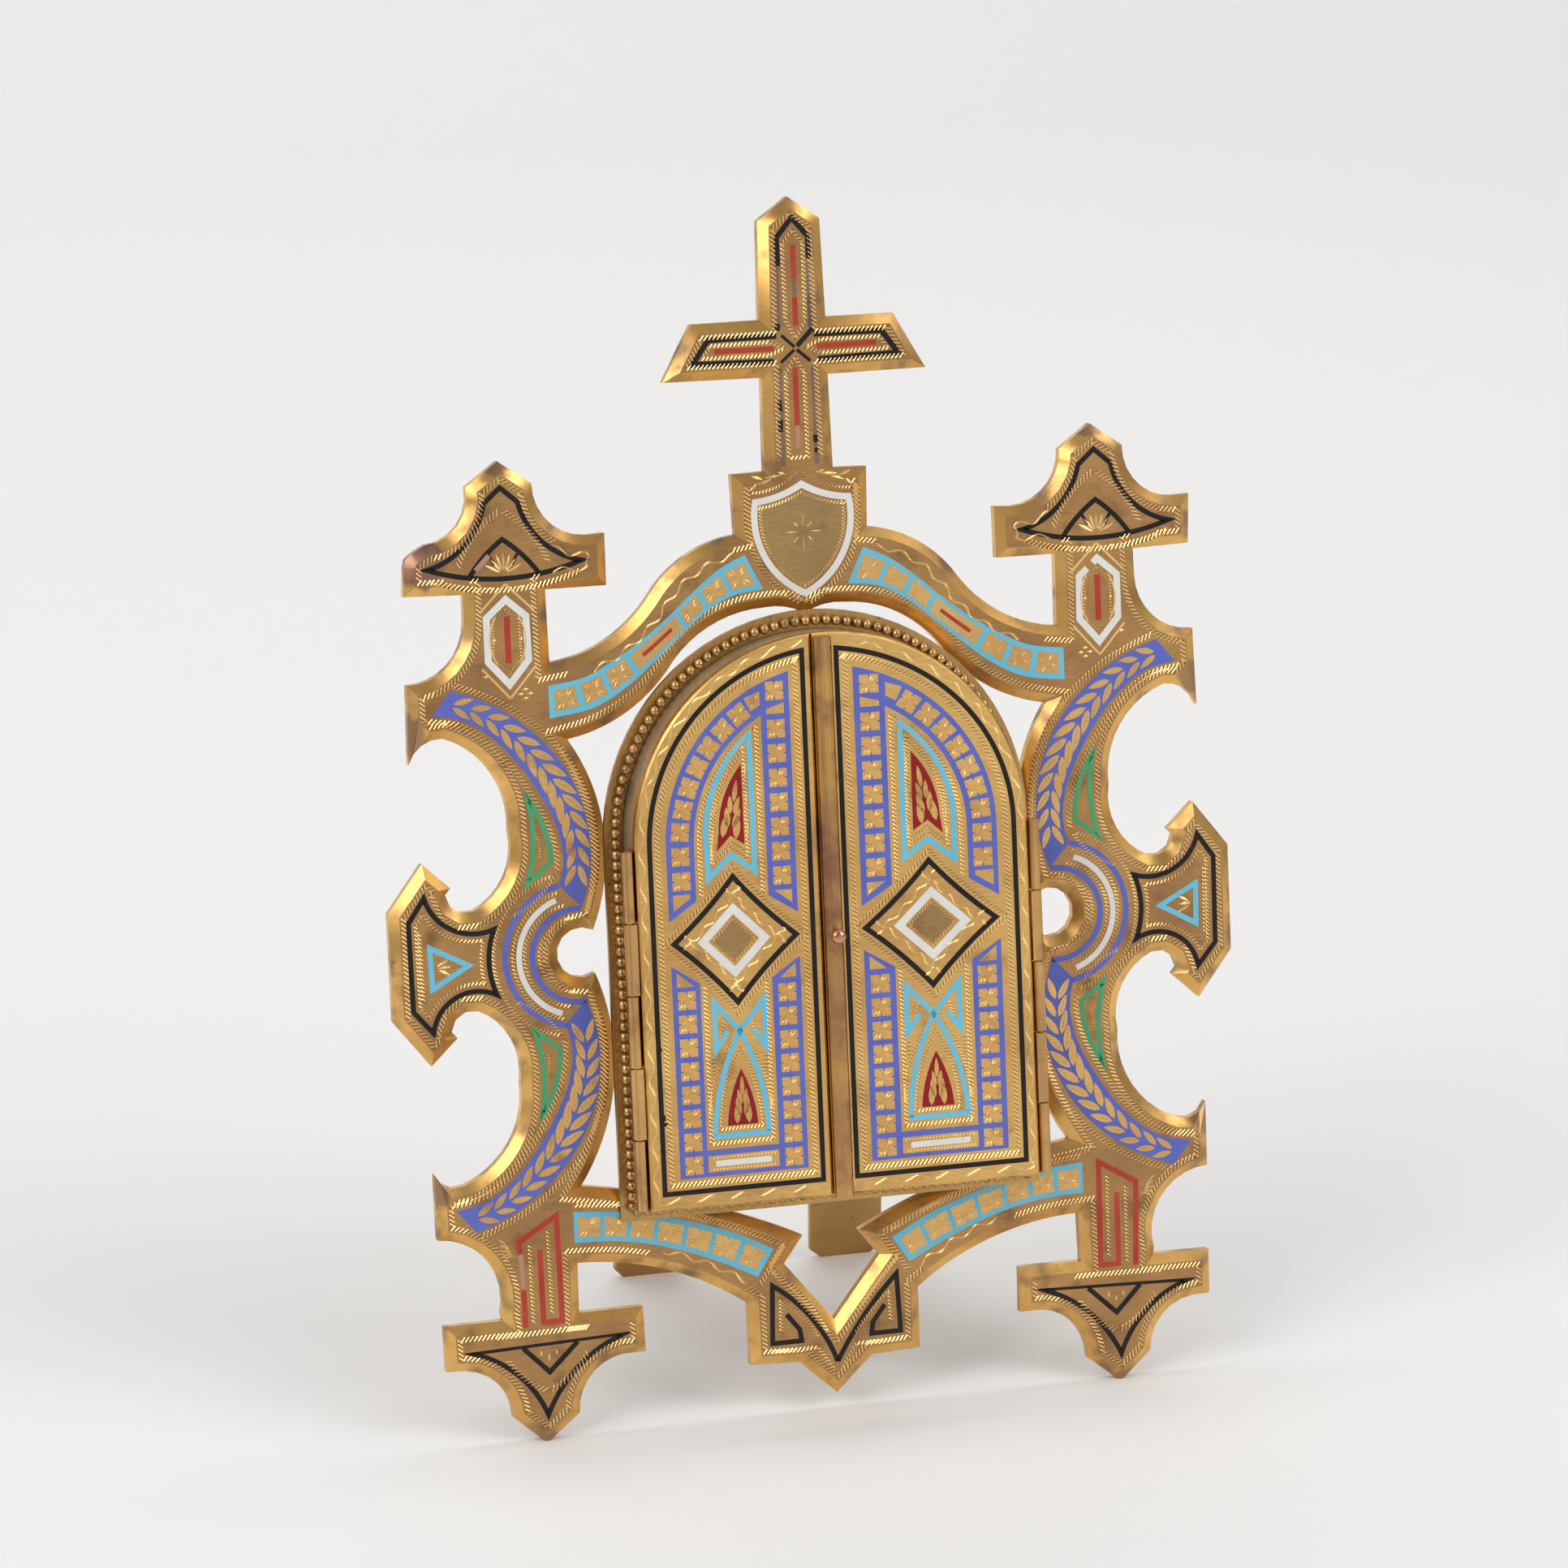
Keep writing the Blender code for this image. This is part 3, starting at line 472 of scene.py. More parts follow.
# The sloping rims and sides are polished gilt. Their colour is also brighter than the ground as a painted
# highlight of bevels catching the lamps.
RIM_GILT_POLISHED_AND_LIT = gilding("polished_gilt_rim_painted_highlight", (0.90, 0.54, 0.165), (0.70, 0.39, 0.12), (0.30, 0.185, 0.11),
                    0.46, (0.3, 0.5), (0.4, 0.4, 0.4), 0.3, blots=[WORN_CORNER] + TARNISHED_TIPS)
CUT_GOLD = gilding("bright_cut_gold", (1.0, 0.72, 0.32), (0.94, 0.58, 0.22), (0.60, 0.36, 0.14),
                   0.25, (0.3, 0.45), (1.0, 1.0, 1.0), 0.1)
CUT_SHADE = gilding("shadow_of_the_cuts", (0.22, 0.115, 0.045), (0.16, 0.085, 0.035), (0.10, 0.05, 0.03),
                    0.3, (0.45, 0.6), (1.0, 1.0, 1.0), 0.2)
DOOR_GROUND = gilding("gilt_door_ground", (0.88, 0.54, 0.175), (0.70, 0.41, 0.14), (0.46, 0.255, 0.10),
                      0.30, (0.33, 0.45), (0.25, 0.25, 3.0), 0.4)
CELL_GOLD = gilding("gilt_cells", (0.84, 0.53, 0.20), (0.70, 0.42, 0.155), (0.46, 0.27, 0.11),
                    0.25, (0.35, 0.5), (1.0, 1.0, 1.0), 0.2)
LEAF_GOLD = gilding("gilt_leaves", (0.86, 0.54, 0.21), (0.68, 0.41, 0.155), (0.46, 0.26, 0.11),
                    0.30, (0.35, 0.5), (1.0, 1.0, 1.0), 0.2)
FIELD_GOLD = gilding("dull_gilt_field", (0.52, 0.34, 0.14), (0.43, 0.27, 0.115), (0.29, 0.175, 0.085),
                     0.36, (0.36, 0.5), (0.3, 0.3, 2.0), 0.4)
BARE_BED = gilding("bare_enamel_bed", (0.36, 0.23, 0.17), (0.26, 0.16, 0.12), (0.13, 0.08, 0.06),
                   0.4, (0.5, 0.7), (1.0, 1.0, 1.0), 0.4)
DOOR_INSIDE = gilding("brushed_gilt_inside", (0.78, 0.475, 0.14), (0.42, 0.26, 0.10), (0.34, 0.20, 0.095),
                      0.30, (0.33, 0.5), (6.0, 1.0, 0.12), 0.6, 1.5, 0.03)
CARTOUCHE_SHADE = gilding("dark_brushed_oval", (0.52, 0.33, 0.12), (0.30, 0.175, 0.07), (0.13, 0.075, 0.04),
                          0.4, (0.35, 0.5), (5.0, 1.0, 0.3), 0.7)
# The case wall is greyed tarnish, and it is lightened further as a painted reflection of the pale room, so
# that its side does not fall dark.
CASE_WALL_GREY_AND_LIT = gilding("greyed_case_wall_painted_reflection", (0.80, 0.67, 0.46), (0.64, 0.50, 0.31), (0.42, 0.29, 0.17),
                    0.30, (0.36, 0.5), (0.3, 3.0, 0.3), 0.5, metal=0.75)
GREY_SOLDER = gilding("grey_solder", (0.62, 0.56, 0.44), (0.50, 0.42, 0.29), (0.36, 0.26, 0.15),
                      0.40, (0.35, 0.5), (1.0, 1.0, 1.0), 0.2)
SOLDER = (0.58, 0.42, 0.22)
MOULDING_GILT = gilding("brushed_moulding", (1.0, 0.585, 0.145), (0.84, 0.455, 0.11), (0.52, 0.29, 0.10),
                        0.30, (0.28, 0.45), (3.0, 0.5, 0.2), 0.5, 0.6,
                        blots=[((-41.0, -9.6, 59.2), 2.6, SOLDER), ((40.4, -9.6, 59.6), 2.4, SOLDER),
                               ((36.2, -9.6, 154.0), 1.7, (0.42, 0.34, 0.22))])
BEAD_GILT = gilding("rubbed_beads", (0.74, 0.46, 0.19), (0.48, 0.31, 0.15), (0.20, 0.15, 0.10),
                    0.42, (0.3, 0.5), (1.0, 1.0, 1.0), 0.2, 0.0, 0.25)
LEG_BRASS = gilding("tarnished_brass", (0.68, 0.425, 0.15), (0.50, 0.30, 0.11), (0.36, 0.215, 0.09),
                    0.26, (0.32, 0.46), (5.0, 5.0, 0.12), 0.6, 0.8, 0.03)
PLATE_BACK = gilding("brushed_plate_back", (0.64, 0.385, 0.135), (0.46, 0.27, 0.10), (0.33, 0.19, 0.085),
                     0.28, (0.36, 0.5), (0.12, 5.0, 3.0), 0.6, 0.8, 0.035)
KNUCKLE_BRASS = gilding("worn_knuckles", (0.78, 0.46, 0.17), (0.55, 0.31, 0.13), (0.28, 0.15, 0.09),
                        0.38, (0.28, 0.5), (1.0, 1.0, 3.0), 0.3)
STRIP_GILT = gilding("rubbed_strip", (0.72, 0.42, 0.13), (0.40, 0.20, 0.11), (0.27, 0.12, 0.085),
                     0.46, (0.26, 0.45), (2.2, 1.0, 0.12), 0.4)
KNOB_COPPER = gilding("rubbed_copper_knob", (0.74, 0.40, 0.26), (0.55, 0.27, 0.17), (0.30, 0.14, 0.09),
                      0.3, (0.2, 0.35), (1.0, 1.0, 1.0), 0.2)
BLACK = enamel("black_enamel", (0.012, 0.010, 0.012), (0.020, 0.014, 0.014), 0.14, 0.6, 0.2)
WHITE = enamel("white_enamel", (0.80, 0.79, 0.75), (0.72, 0.70, 0.66), 0.2, 0.2)
TURQUOISE = enamel("turquoise_enamel", (0.115, 0.50, 0.73), (0.16, 0.55, 0.72), 0.18, 0.35)
BLUE = enamel("periwinkle_enamel", (0.085, 0.115, 0.50), (0.12, 0.15, 0.53), 0.18, 0.35)
RED = enamel("brick_red_enamel", (0.42, 0.030, 0.014), (0.48, 0.065, 0.035), 0.2, 0.5, 0.3)
RUBY = enamel("ruby_enamel", (0.24, 0.003, 0.008), (0.31, 0.008, 0.012), 0.12, 0.3, 0.3)
GREEN = enamel("green_enamel", (0.045, 0.34, 0.13), (0.06, 0.40, 0.18), 0.18, 0.3)
FADED_PINK = enamel("worn_red_residue", (0.50, 0.25, 0.18), (0.36, 0.20, 0.14), 0.45, 1.0)
print("finishes:", len(bpy.data.materials))

# %% [markdown]
# A CAD node's mesh is loose triangles, so each metal part is dressed on a merged copy that takes the node's
# place: its faces get a finish by the way they look on the drawing, smooth arcs are shaded smooth, and the
# sharp edges of most parts get a hair of a bevel, because no filed edge is a knife.

# %% Dress the CAD parts
made = []


def keep_piece(piece, body, slot, *nodes):
    """Give a finished piece its body and hide the nodes that it stands for; its slot is not used."""
    bpy.context.scene.collection.objects.link(piece)
    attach(piece, body)
    if nodes:
        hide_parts(*nodes)
    made.append(piece.name)
    return piece


LOOKS_STRAIGHT = 0.97
LOOKS_ASLANT = 0.3
MERGE_WITHIN = 0.004
SAME_SLOPE = 0.08


def facing(normal):
    """Which way a face of the flat drawing looks: front, rim, side or back."""
    if normal.y < -LOOKS_STRAIGHT:
        return "front"
    if normal.y > LOOKS_STRAIGHT:
        return "back"
    return "rim" if normal.y < -LOOKS_ASLANT else "side"


def dressed(node, name, body, slot, finishes, edge=0.0, smooth=42.0):
    """A merged copy of a node with a finish for each way that its faces look."""
    mesh = bmesh.new()
    mesh.from_mesh(frame["nodes"][node].data)
    bmesh.ops.transform(mesh, matrix=TO_PLATE, verts=mesh.verts[:])
    bmesh.ops.remove_doubles(mesh, verts=mesh.verts[:], dist=MERGE_WITHIN)
    bmesh.ops.dissolve_limit(mesh, angle_limit=math.radians(0.5), verts=mesh.verts[:], edges=mesh.edges[:])
    bmesh.ops.recalc_face_normals(mesh, faces=mesh.faces[:])
    names = list(finishes)
    for face in mesh.faces:
        face.material_index = names.index(facing(face.normal)) if facing(face.normal) in names else 0
        face.smooth = True
    for seam in mesh.edges:
        if len(seam.link_faces) == 2:
            first, second = seam.link_faces
            turn = first.normal.angle(second.normal, 0.0)
            kin = abs(first.normal.y - second.normal.y) < SAME_SLOPE
            seam.smooth = turn < math.radians(smooth if kin else 12.0)
    bmesh.ops.transform(mesh, matrix=TO_WORLD, verts=mesh.verts[:])
    piece = bpy.data.objects.new(name, finished(name, mesh, *[finishes[key] for key in names]))
    if edge:
        soft = piece.modifiers.new("filed edge", "BEVEL")
        soft.width = edge * MM
        soft.segments = 2
        soft.limit_method = "ANGLE"
        soft.angle_limit = math.radians(30.0)
        soft.harden_normals = True
    return keep_piece(piece, body, slot, node)


# Rims and sides take the brightened gilt by the way their faces look, a painted highlight.
RIM_SET = {"rim": RIM_GILT_POLISHED_AND_LIT, "front": PLATE_GROUND, "side": RIM_GILT_POLISHED_AND_LIT, "back": PLATE_BACK}
DOOR_SET = {"rim": RIM_GILT_POLISHED_AND_LIT, "front": DOOR_GROUND, "side": RIM_GILT_POLISHED_AND_LIT, "back": DOOR_INSIDE}
dressed("frame_plate", "openwork_plate", "frame", "gilt", RIM_SET)
dressed("back_plate", "case_sheet", "frame", "dark_gilt", {"side": LEG_BRASS})
# The sides of the case wall take the lightened grey, a painted reflection.
dressed("case_band", "case_wall", "frame", "dark_gilt", {"side": CASE_WALL_GREY_AND_LIT, "front": MOULDING_GILT}, 0.12)
dressed("sight_frame", "picture_moulding", "frame", "gilt", {"side": MOULDING_GILT}, 0.1)
dressed("door_left", "left_door_plate", "left_door", "gilt", DOOR_SET, 0.1)
dressed("door_right", "right_door_plate", "right_door", "gilt", DOOR_SET, 0.1)
dressed("leg", "folding_leg", "leg", "brass", {"side": LEG_BRASS}, 0.12)
dressed("leg_bracket", "leg_hinge_bracket", "frame", "brass", {"side": LEG_BRASS}, 0.12)
dressed("leg_pin", "leg_hinge_pin", "frame", "brass", {"side": LEG_BRASS})
dressed("astragal", "meeting_strip", "right_door", "gilt", {"side": STRIP_GILT}, 0.0, 58.0)
for door in ("left", "right"):
    dressed(f"hinge_pin_{door}", f"{door}_hinge_pin", "frame", "brass", {"side": KNUCKLE_BRASS})
    for number in range(1, 6):
        body = "frame" if number % 2 else f"{door}_door"
        dressed(f"knuckle_{door}_{number}", f"{door}_hinge_knuckle_{number}", body, "brass",
                {"side": KNUCKLE_BRASS}, 0.08)
print("dressed parts:", len(made))

# %% [markdown]
# The enamel and the cut gold are gathered into one mesh for each colour of a motif. `start` opens such a
# mesh, the cutting tools fill it, and `set_down` lays all open ones on the metal they belong to: the front of
# the plate, the front of the doors or their insides.

# %% Open and lay down the ornament
GROUNDS = {
    "plate": Matrix.Identity(4),
    "door": Matrix.Translation((0.0, door_low.y, 0.0)),
    "door_inside": Matrix.Translation((0.0, door_high.y, 0.0)) @ Matrix.Diagonal((1.0, -1.0, 1.0, 1.0)),
}
open_work = {}


def start(name, finish, body="frame", ground="plate", slot="enamel"):
    """The mesh of a piece of ornament, opened when it is first asked for."""
    if name not in open_work:
        open_work[name] = (bmesh.new(), finish, body, ground, slot)
    return open_work[name][0]


def start_cuts(name):
    """The mesh of the bright cuts of a motif of the plate."""
    return start(name, CUT_GOLD, slot="gilt")


def on_door(body, name, finish, slot="enamel", ground="door"):
    """The mesh of a piece of ornament of one door."""
    return start(f"{body}_{name}", finish, body, ground, slot)


def set_down():
    """Lay all open ornament on its metal."""
    for name, (mesh, finish, body, ground, slot) in open_work.items():
        bmesh.ops.transform(mesh, matrix=TO_WORLD @ GROUNDS[ground], verts=mesh.verts[:])
        bmesh.ops.recalc_face_normals(mesh, faces=mesh.faces[:])
        finishes = (CUT_GOLD, CUT_SHADE) if finish is CUT_GOLD else (finish,)
        data = finished(name, mesh, *finishes)
        keep_piece(bpy.data.objects.new(name, data), body, slot)
        print(name, len(data.polygons), "faces")
    open_work.clear()


# %% [markdown]
# A rope line follows the whole edge of the plate, a little inside its sloping rim. The rim's inner edge is
# read from the frame, moved in, and set with ridges. Along the top of the arch and under the lower bands the
# real engraver changed to a winding line, so those stretches are left out of the rope and wriggled instead.

# %% Border of the plate
BORDER_IN = 0.95


def rim_loops(node, depth):
    """The inner edges of the sloping rim of a node as loops of points on the drawing."""
    mesh = bmesh.new()
    mesh.from_mesh(frame["nodes"][node].data)
    bmesh.ops.transform(mesh, matrix=TO_PLATE, verts=mesh.verts[:])
    bmesh.ops.remove_doubles(mesh, verts=mesh.verts[:], dist=0.01)
    flat = {face for face in mesh.faces if all(abs(vert.co.y - depth) < 0.05 for vert in face.verts)}
    rim = {edge for edge in mesh.edges if sum(face in flat for face in edge.link_faces) == 1}
    loops = []
    while rim:
        edge = rim.pop()
        loop = [edge.verts[0], edge.verts[1]]
        onward = edge
        while onward is not None:
            onward = next((other for other in loop[-1].link_edges if other in rim), None)
            if onward is not None:
                rim.remove(onward)
                loop.append(onward.other_vert(loop[-1]))
        points = [Vector((vert.co.x, vert.co.z)) for vert in loop[:-1]]
        area = sum(a.x * b.y - b.x * a.y for a, b in zip(points, points[1:] + points[:1]))
        loops.append((abs(area), points if area > 0.0 else points[::-1]))
    mesh.free()
    loops.sort(key=lambda pair: -pair[0])
    return [loops[0][1]] + [points[::-1] for _, points in loops[1:]]


def winding_stretch(place):
    """Whether the edge here has a winding line and no rope."""
    reach = abs(place.x)
    on_arch = 17.0 < reach < 58.5 and 176.0 < place.y < 206.0
    return on_arch or (21.0 < reach < 58.5 and 26.0 < place.y < 42.0)


def under_finial(place):
    """Whether the edge here is the foot of an upper finial, which has its rope further in."""
    return 194.5 < place.y < 198.5 and (50.0 < abs(place.x) < 61.5 or abs(place.x) > 78.2)


def above_shield(place):
    """Whether the edge here is a shoulder over the shield, which has curls and no rope."""
    return place.y > 214.6 and 4.5 < abs(place.x) < 12.2 and place.y < 222.0


outer_edge, opening_edge = rim_loops("frame_plate", 0.0)[:2]
border = start_cuts("plate_border_rope")
for number, loop in enumerate((outer_edge, opening_edge)):
    fine = paced(loop, 0.5, True)
    moved = away_from(beside(loop, BORDER_IN, True), fine, 0.93 * BORDER_IN)
    if number == 0:
        rope(border, moved, True, keep=lambda place: not (winding_stretch(place) or under_finial(place)
                                                          or above_shield(place)))
        inner = away_from(beside([spot for spot, _, _ in fine], 2.1, True), fine, 2.0)
        wriggle(border, inner, True, 0.6, 6.6, winding_stretch)
    else:
        rope(border, moved, True)
set_down()

# %% [markdown]
# The cross has lost most of its black outline: only the top and the arms keep it, and the empty bed shows as
# brown metal. The red bars sit in rope-edged lobes that point at the middle.

# %% Cross
cross_black = start("cross_black_enamel", BLACK)
cross_red = start("cross_red_enamel", RED)
cross_rope = start_cuts("cross_cut_gold")
cross_bed = start("cross_bare_bed", BARE_BED, slot="gilt")
cross_pink = start("cross_worn_red", FADED_PINK)
stroke(cross_black, way([(-3.4, 264.6), (-3.4, 271.0), (0.3, 275.3), (3.9, 271.0), (3.9, 266.0)]), 1.2)
for side in (-1.0, 1.0):
    stroke(cross_black, turned(way([(4.4, 248.9), (20.4, 248.8), (24.2, 243.6), (5.2, 243.2)]), side), 1.25)
    stroke(cross_red, turned(way([(5.0, 246.1), (19.0, 246.2)]), side), 1.2)
    rope(cross_rope, turned(way([(2.6, 246.1), (6.0, 247.6), (20.0, 247.5), (21.8, 244.7), (6.2, 244.6)],
                                True), side), True, 0.95, 0.9, 0.45)
    stroke(cross_bed, turned(way([(3.8, 250.4), (3.8, 265.0)]), side), 1.2, BED_TOP)
    stroke(cross_bed, turned(way([(4.0, 219.6), (4.0, 241.6)]), side), 1.2, BED_TOP)
for start_at, end_at, width in (((-4.2, 250.0), (-4.0, 251.6), 1.2), ((0.4, 246.4), (4.2, 250.2), 1.1),
                                ((-0.2, 246.2), (-3.2, 249.0), 0.7), ((-0.3, 245.6), (-3.6, 242.8), 0.7),
                                ((0.3, 245.6), (3.4, 242.9), 0.8), ((-4.3, 234.4), (-4.1, 231.8), 0.9),
                                ((-4.2, 230.0), (-4.3, 227.2), 1.1), ((3.8, 226.2), (3.9, 224.4), 1.0),
                                ((3.9, 223.2), (3.8, 222.2), 0.7)):
    stroke(cross_black, way([start_at, end_at]), width)
stroke(cross_red, way([(0.3, 261.6), (0.3, 269.2)]), 1.2)
stroke(cross_bed, way([(0.3, 257.4), (0.3, 261.6)]), 1.1, BED_TOP)
stroke(cross_red, way([(0.3, 251.0), (0.3, 257.4)]), 1.2)
stroke(cross_red, way([(-0.3, 241.6), (-0.3, 228.5)]), 1.2)
stroke(cross_pink, way([(-0.3, 228.5), (-0.3, 223.4)]), 1.1)
rope(cross_rope, way([(0.2, 248.2), (2.6, 252.2), (2.7, 269.6), (0.3, 272.6), (-2.1, 269.6), (-2.0, 252.2)],
                     True), True, 0.95, 0.9, 0.45)
rope(cross_rope, way([(-0.2, 244.0), (-2.5, 240.4), (-2.5, 221.2), (1.9, 221.2), (1.9, 240.4)], True),
     True, 0.95, 0.9, 0.45)
set_down()

# %% [markdown]
# The shield has a white outline with a rope of cuts inside it. In the middle of its dull gold field stands a
# small star of eight rays.

# %% Shield
shield_white = start("shield_white_enamel", WHITE)
shield_field = start("shield_field", FIELD_GOLD, slot="gilt")
shield_rope = start_cuts("shield_cut_gold")
shield = way([(0.0, 215.2, -0.7), (11.0, 211.7, 4.2), (0.0, 190.4, 4.2), (-11.0, 211.7, -0.7)], True)
stroke(shield_white, shield, 1.5, closed=True)
slab(shield_field, beside(shield, -1.1, True), BED_TOP)
rope(shield_rope, beside(shield, -1.55, True), True, 0.8, 0.8, 0.4)
for side in (-1.0, 1.0):
    rope(shield_rope, turned(way([(13.0, 214.4), (13.0, 208.0, 3.4), (1.0, 188.4)]), side))
    rope(shield_rope, turned(way([(0.8, 218.0, -1.2), (11.8, 213.8)]), side), False, 0.8, 0.7, 0.36)
    for u, v, lean, length in ((6.4, 217.3, -0.1, 4.6), (8.6, 216.2, -0.3, 3.8), (10.4, 217.2, 0.35, 3.0),
                               (11.2, 215.2, -0.8, 2.4), (4.6, 217.9, 0.3, 2.2)):
        stamp(shield_rope, LEAF, Vector((side * u, v)), lean * side, length, 0.7, 0.1)
STAR_MIDDLE = Vector((0.0, 204.4))
for ray in range(8):
    turn = math.radians(45.0 * ray)
    spot = STAR_MIDDLE + pointing(turn) * (2.3 if ray % 2 else 2.9)
    stamp(shield_rope, LEAF, spot, turn, 2.2 if ray % 2 else 4.0, 0.42 if ray % 2 else 0.6, 0.07)
set_down()

# %% [markdown]
# The bands are lattices of enamel with gold cells. Each runs between two curves, so a cell is placed by its
# share along the band and across it, and takes the band's own bend. A cell is a small plate of gold, nicked
# in each side, with three petals towards each corner.

# %% Lattice bands


class Band:
    """A strip between an outer and an inner curve."""

    def __init__(self, outer, inner, side):
        self.outer = turned(flowing(outer), side)
        self.inner = turned(flowing(inner), side)

    def at(self, along, across):
        """The point at a share along the band and a share across it."""
        ends = []
        for curve in (self.inner, self.outer):
            spot = along * (len(curve) - 1)
            index = min(int(spot), len(curve) - 2)
            ends.append(curve[index].lerp(curve[index + 1], spot - index))
        return ends[0].lerp(ends[1], across)

    def cell(self, first, last, low=0.0, high=1.0, steps=3):
        """The outline of a stretch of the band."""
        shares = [first + (last - first) * step / steps for step in range(steps + 1)]
        return [self.at(share, high) for share in shares] + [self.at(share, low) for share in shares[::-1]]


def crossed_cell(ground, petals, corners, notch, height):
    """A gold cell on its enamel, nicked in its sides, with three petals towards each corner."""
    middle = sum(corners, Vector((0.0, 0.0))) / 4.0
    outline = []
    for corner, onward in zip(corners, corners[1:] + corners[:1]):
        outline.append(corner)
        centre = corner.lerp(onward, 0.5)
        outline += [corner.lerp(onward, 0.44), centre.lerp(middle, notch), corner.lerp(onward, 0.56)]
    slab(ground, outline, CELL_TOP)
    for corner in corners:
        reach = corner - middle
        turn = math.atan2(reach.y, reach.x)
        for spread, share in ((-0.38, 0.82), (0.0, 1.0), (0.38, 0.82)):
            ridge = pointing(turn + spread) * reach.length * share
            stamp(petals, LEAF, middle + ridge * 0.53, turn + spread, ridge.length * 0.88,
                  reach.length * 0.16, height)


def lattice(name, band, x_cells, across=(0.17, 0.83)):
    """A turquoise strip with its gold cells at shares along it."""
    field = start(f"{name}_turquoise_enamel", TURQUOISE)
    cells = start(f"{name}_gold_cells", CELL_GOLD, slot="gilt")
    petals = start_cuts(f"{name}_petals")
    slab(field, band.cell(0.0, 1.0, steps=30))
    for first, last in x_cells:
        low, high = across
        crossed_cell(cells, petals, [band.at(first, high), band.at(last, high), band.at(last, low),
                                     band.at(first, low)], 0.26, 0.16)


ARCH_OUTER = [(14.0, 200.0), (20.0, 197.2), (26.0, 192.8), (32.0, 187.6), (39.0, 182.3), (46.0, 178.0),
              (53.0, 174.8), (61.0, 173.6)]
ARCH_INNER = [(10.0, 192.0), (17.0, 191.0), (23.5, 187.8), (29.5, 182.8), (35.5, 177.8), (43.0, 171.9),
              (51.0, 167.8), (61.0, 166.2)]
ARCH_CELLS = [(0.022, 0.135), (0.157, 0.265), (0.287, 0.39), (0.665, 0.762), (0.784, 0.876), (0.898, 0.98)]
LOW_OUTER = [(61.0, 53.2), (52.0, 52.4), (43.0, 50.8), (33.5, 48.3), (24.0, 45.0), (14.2, 40.1)]
LOW_INNER = [(61.0, 46.0), (52.5, 45.6), (44.0, 44.2), (35.0, 41.5), (26.5, 38.0), (18.2, 33.9)]
LOW_COUNT = 7
for side in (-1.0, 1.0):
    arch = Band(ARCH_OUTER, ARCH_INNER, side)
    lattice("arch", arch, ARCH_CELLS)
    slab(start("arch_gold_cells", PLATE_GROUND, slot="gilt"), arch.cell(0.412, 0.643, 0.17, 0.83, 8),
         CELL_TOP)
    slab(start("arch_red_enamel", RED), arch.cell(0.452, 0.602, 0.42, 0.58, 6), CELL_TOP - 0.03)
    frame_line = [arch.at(0.432 + 0.19 * step / 8, 0.72) for step in range(9)]
    frame_line += [arch.at(0.622 - 0.19 * step / 8, 0.28) for step in range(9)]
    arch_rope = start_cuts("arch_cut_gold")
    rope(arch_rope, frame_line, True, 0.85, 0.9, 0.4)
    low = Band(LOW_OUTER, LOW_INNER, side)
    gap = 0.02
    shares = [(step / LOW_COUNT + gap, (step + 1) / LOW_COUNT - gap * 0.1) for step in range(LOW_COUNT)]
    lattice("low_band", low, [(a, min(b, 0.975)) for a, b in shares])
    low_rope = start_cuts("low_band_cut_gold")
    rope(low_rope, [low.at(0.01 + 0.98 * step / 24, 1.2) for step in range(25)], False, 0.95, 1.0, 0.5)
    rope(low_rope, [low.at(1.03, 1.3), low.at(1.03, -0.2)])
set_down()

# %% [markdown]
# The four finials are bell and arrow shapes in black. The upper ones hold a chevron with an engraved fan,
# the lower ones a small triangle. The stems between carry a white hexagon with a red bar, and below a red
# angular spiral, worn on the left.

